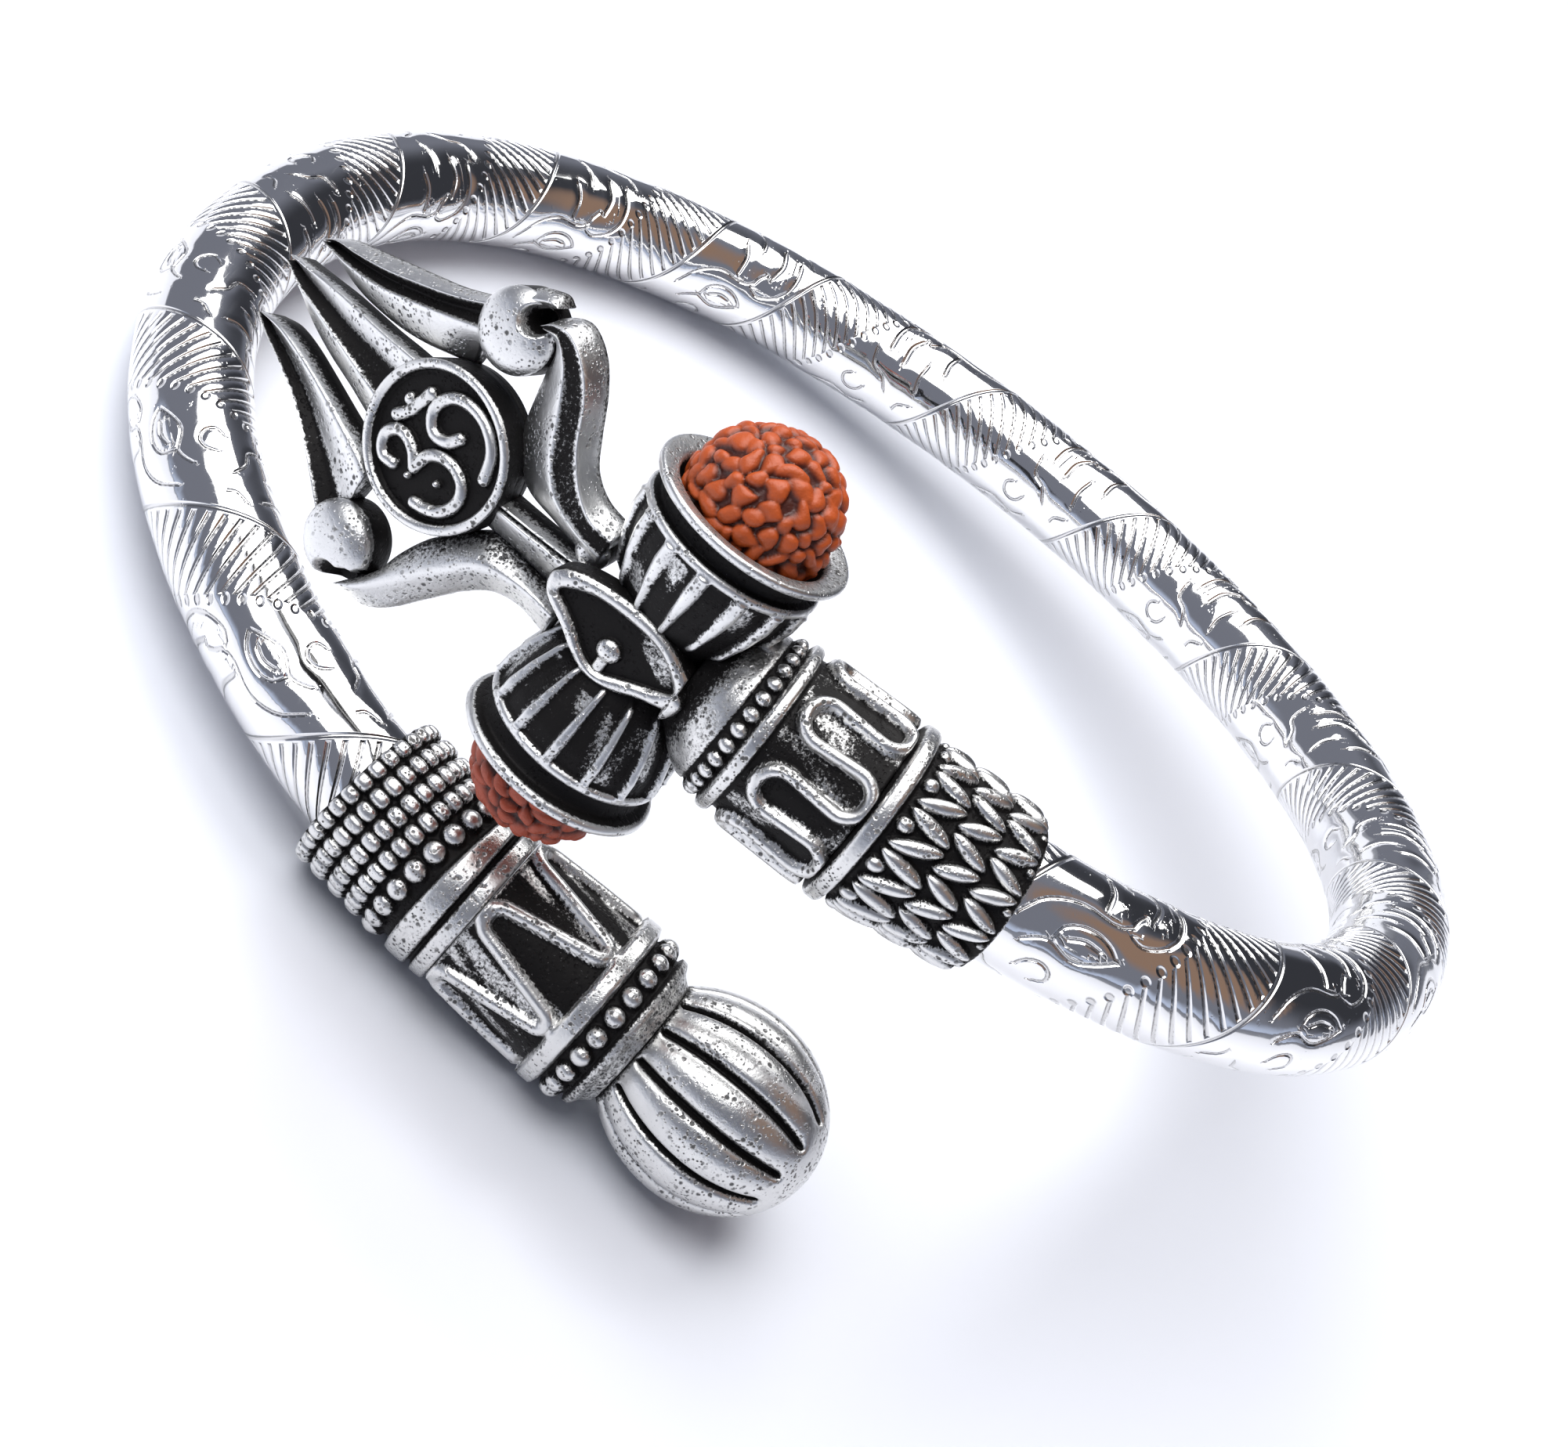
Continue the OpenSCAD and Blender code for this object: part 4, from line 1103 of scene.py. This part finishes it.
def knobShape(knob):
    # a full dome on a wall painted black, painted shade under the dome, with round hollows
    size, back = knob["radius"], trident["back"]
    radii = np.concatenate([np.linspace(0.04, size - 0.01, 44), np.full(5, size)])
    r, u, w = disc(knob["centre"], radii, 140)
    o = knob["wall"] + (knob["top"] - knob["wall"]) * np.clip(1 - (r / (size + 0.01))**2.7, 0, 1)**0.5
    worn = 0.82 + 0.1 * wobble(u, w, 0, 0.5, 31)
    for cu, cw, width in knob["hollows"]:
        pit = 1 - ramp(np.hypot(u - cu, w - cw), width * 0.5, width * 1.25)
        o = o * (1 - pit) + (back + 0.2) * pit
        worn = worn * (1 - ramp(pit, 0.1, 0.5))
    o[-5:] = np.minimum(np.linspace(knob["wall"] - 0.1, back, 5)[:, None], o[-6])
    # the wall round the dome's foot is made nearly unworn, which turns it black: painted shade under the dome
    worn[-5:] = 0.02
    return gridShape(ornament(u, w, o), worn)


def shaftShape():
    # the stem between eye and medallion: two ridges with a groove between them, and a wide lower slope
    (near, far), back = trident["shaftEnds"], trident["back"]
    rails = [[(near, w, o, worn), (far, farW, o, worn)] for w, farW, o, worn in
             ((1.0, 0.5, back, 0.05), (1.0, 0.5, 0.6, 0.1), (0.88, 0.18, 1.7, 1), (0.68, 0.02, 1.4, 0.15),
              (0.45, -0.1, 1.7, 1), (-1.2, -1.5, 0.6, 0.75), (-1.2, -1.5, back, 0.1))]
    return railShape(rails, 40, 7, 1)


def plateShape():
    # the round plate under the medallion, up to its back
    r, u, w = disc(medal["centre"], [0.3, 1.5, 2.8, 3.7, 3.85, 3.85], 120)
    heights = spread([0.45, 0.45, 0.45, 0.45, 0.3, trident["back"]], 120)
    return gridShape(ornament(u, w, heights), np.full(r.shape, 0.05))


def buildTrident():
    # three prongs, two arms, two knobs, a lug, the horn over the upper knob's hollow, shaft and plate
    shapes = [limbShape(trident[key], 96, 7, 2) for key in ("upper", "middle", "lower")]
    shapes += [limbShape(trident[key], 110, 8, 3) for key in ("upperArm", "lowerArm")]
    shapes += [knobShape(trident[key]) for key in ("upperKnob", "lowerKnob", "lug")]
    shapes += [limbShape(trident["horn"], 50, 6, 3), shaftShape(), plateShape()]
    addPiece("tridentCasting", joined(shapes), "trident", satinSilver)


buildMedal()
buildTrident()
print("trident made")


# Floor, light and camera.

studio = {
    "floorSize": 2.4, "floorColour": (0.86, 0.88, 0.94), "paintedFarShade": (0.2, 0.21, 0.24),
    "paintedShadeRange": (0.215, 0.27),     # metres from the bangle over which the floor's colour goes dark, a painted fall-off of the light
    "overhead": (0.17, 0.18, 0.22), "horizon": (0.48, 0.55, 0.72), "darkCorner": (0.035, 0.037, 0.045),
    "cornerDirection": (0.62, 0.66, 0.42), "warmPatch": (0.26, 0.17, 0.125),
    "warmDirection": (0.66, -0.14, 0.74), "softboxPlace": (-0.32, 0.16, 1.0), "softboxSize": (1.94, 1.06),
    "softboxPower": 25.0, "softboxTurn": 7,
}
# the photo's viewing angle: the camera's place in millimetres, its right and back directions, and its focal
# length and picture width in the photo's pixels
photoView = {"place": (-28.32, -148.8, 107.93), "right": (0.7855, 0.2357, 0.5723),
             "back": (-0.1751, -0.8023, 0.5706), "focal": 4167, "width": 2002}
sensorWidth = 36


def stand(data, across, up, back, place):
    # puts a light or camera in the scene, looking against its back direction, with its place in metres
    thing = bpy.data.objects.new(data.name, data)
    thing.matrix_world = Matrix([(across[k], up[k], back[k], place[k]) for k in range(3)] + [(0, 0, 0, 1)])
    scene.collection.objects.link(thing)
    return thing


def buildFloor():
    # a flat square sheet at the level that the bangle lies on, pale round the bangle and painted darker far
    # off: a painted pool of light with painted shade beyond it
    half = studio["floorSize"] / 2
    mesh = bpy.data.meshes.new("studioFloor")
    corners = [(-half, -half, 0), (half, -half, 0), (half, half, 0), (-half, half, 0)]
    mesh.from_pydata(corners, [], [(0, 1, 2, 3)])
    floor = bpy.data.objects.new("studioFloor", mesh)
    scene.collection.objects.link(floor)
    material, tree, shader, where = startMaterial("paleBoard")
    cloud = noiseValue(where, 30, 3)
    pale = blendColour(cloud, studio["floorColour"], tuple(0.99 * c for c in studio["floorColour"]))
    reach = addNode(tree, "VectorMath", {0: where}, operation="LENGTH").outputs["Value"]
    # the colour goes dark away from the bangle: painted shade beyond a painted pool of light
    feed(shader["Base Color"], blendColour(stepUp(reach, *studio["paintedShadeRange"]), pale, studio["paintedFarShade"]))
    feed(shader["Roughness"], blendNumber(cloud, 0.3, 0.36))
    mesh.materials.append(material)


def facing(direction, towards):
    # cosine of the angle between the direction and a fixed one
    node = addNode(direction.id_data, "VectorMath", {0: direction, 1: towards}, operation="DOT_PRODUCT")
    return node.outputs["Value"]


def buildWorld():
    # a dim room that is lighter low down in front, dark in one corner and warm to the right
    world = bpy.data.worlds.new("studioSurround")
    world.use_nodes = True
    direction = addNode(world.node_tree, "TexCoord", {}).outputs["Generated"]
    inCorner = stepUp(facing(direction, studio["cornerDirection"]), 0.66, 0.93)
    room = blendColour(inCorner, studio["overhead"], studio["darkCorner"])
    inWarm = stepUp(facing(direction, studio["warmDirection"]), 0.86, 0.97)
    room = blendColour(inWarm, room, studio["warmPatch"])
    behind = stepUp(facing(direction, (0, 1, 0)), -0.2, 0.4)
    low = blendColour(behind, studio["horizon"], studio["overhead"])
    height = stepUp(facing(direction, (0, 0, 1)), 0.0, 0.19)
    feed(world.node_tree.nodes["Background"].inputs["Color"], blendColour(height, low, room))
    scene.world = world


def buildLight():
    # a wide softbox up to the left, facing the bangle and turned a little about its own middle
    light = bpy.data.lights.new("keySoftbox", "AREA")
    light.shape = "RECTANGLE"
    light.size, light.size_y = studio["softboxSize"]
    light.energy = studio["softboxPower"]
    back = np.array(studio["softboxPlace"])
    back /= np.linalg.norm(back)
    across = np.cross((0, 0, 1), back)
    across /= np.linalg.norm(across)
    up = np.cross(back, across)
    c, s = np.cos(np.radians(studio["softboxTurn"])), np.sin(np.radians(studio["softboxTurn"]))
    stand(light, c * across + s * up, c * up - s * across, back, studio["softboxPlace"])


def buildCamera():
    # the photo's camera: back is squared to right, and lens = focal length * sensor width / picture width
    right, back = np.array(photoView["right"]), np.array(photoView["back"])
    right /= np.linalg.norm(right)
    back -= right * (right @ back)
    back /= np.linalg.norm(back)
    data = bpy.data.cameras.new("photoCamera")
    data.sensor_fit, data.sensor_width = "HORIZONTAL", sensorWidth
    data.lens = photoView["focal"] * sensorWidth / photoView["width"]
    data.clip_start, data.clip_end = 0.01, 10
    scene.camera = stand(data, right, np.cross(back, right), back, np.array(photoView["place"]) * mm)


buildFloor()
buildWorld()
buildLight()
buildCamera()
scene.view_settings.view_transform = "Standard"
print("studio made")
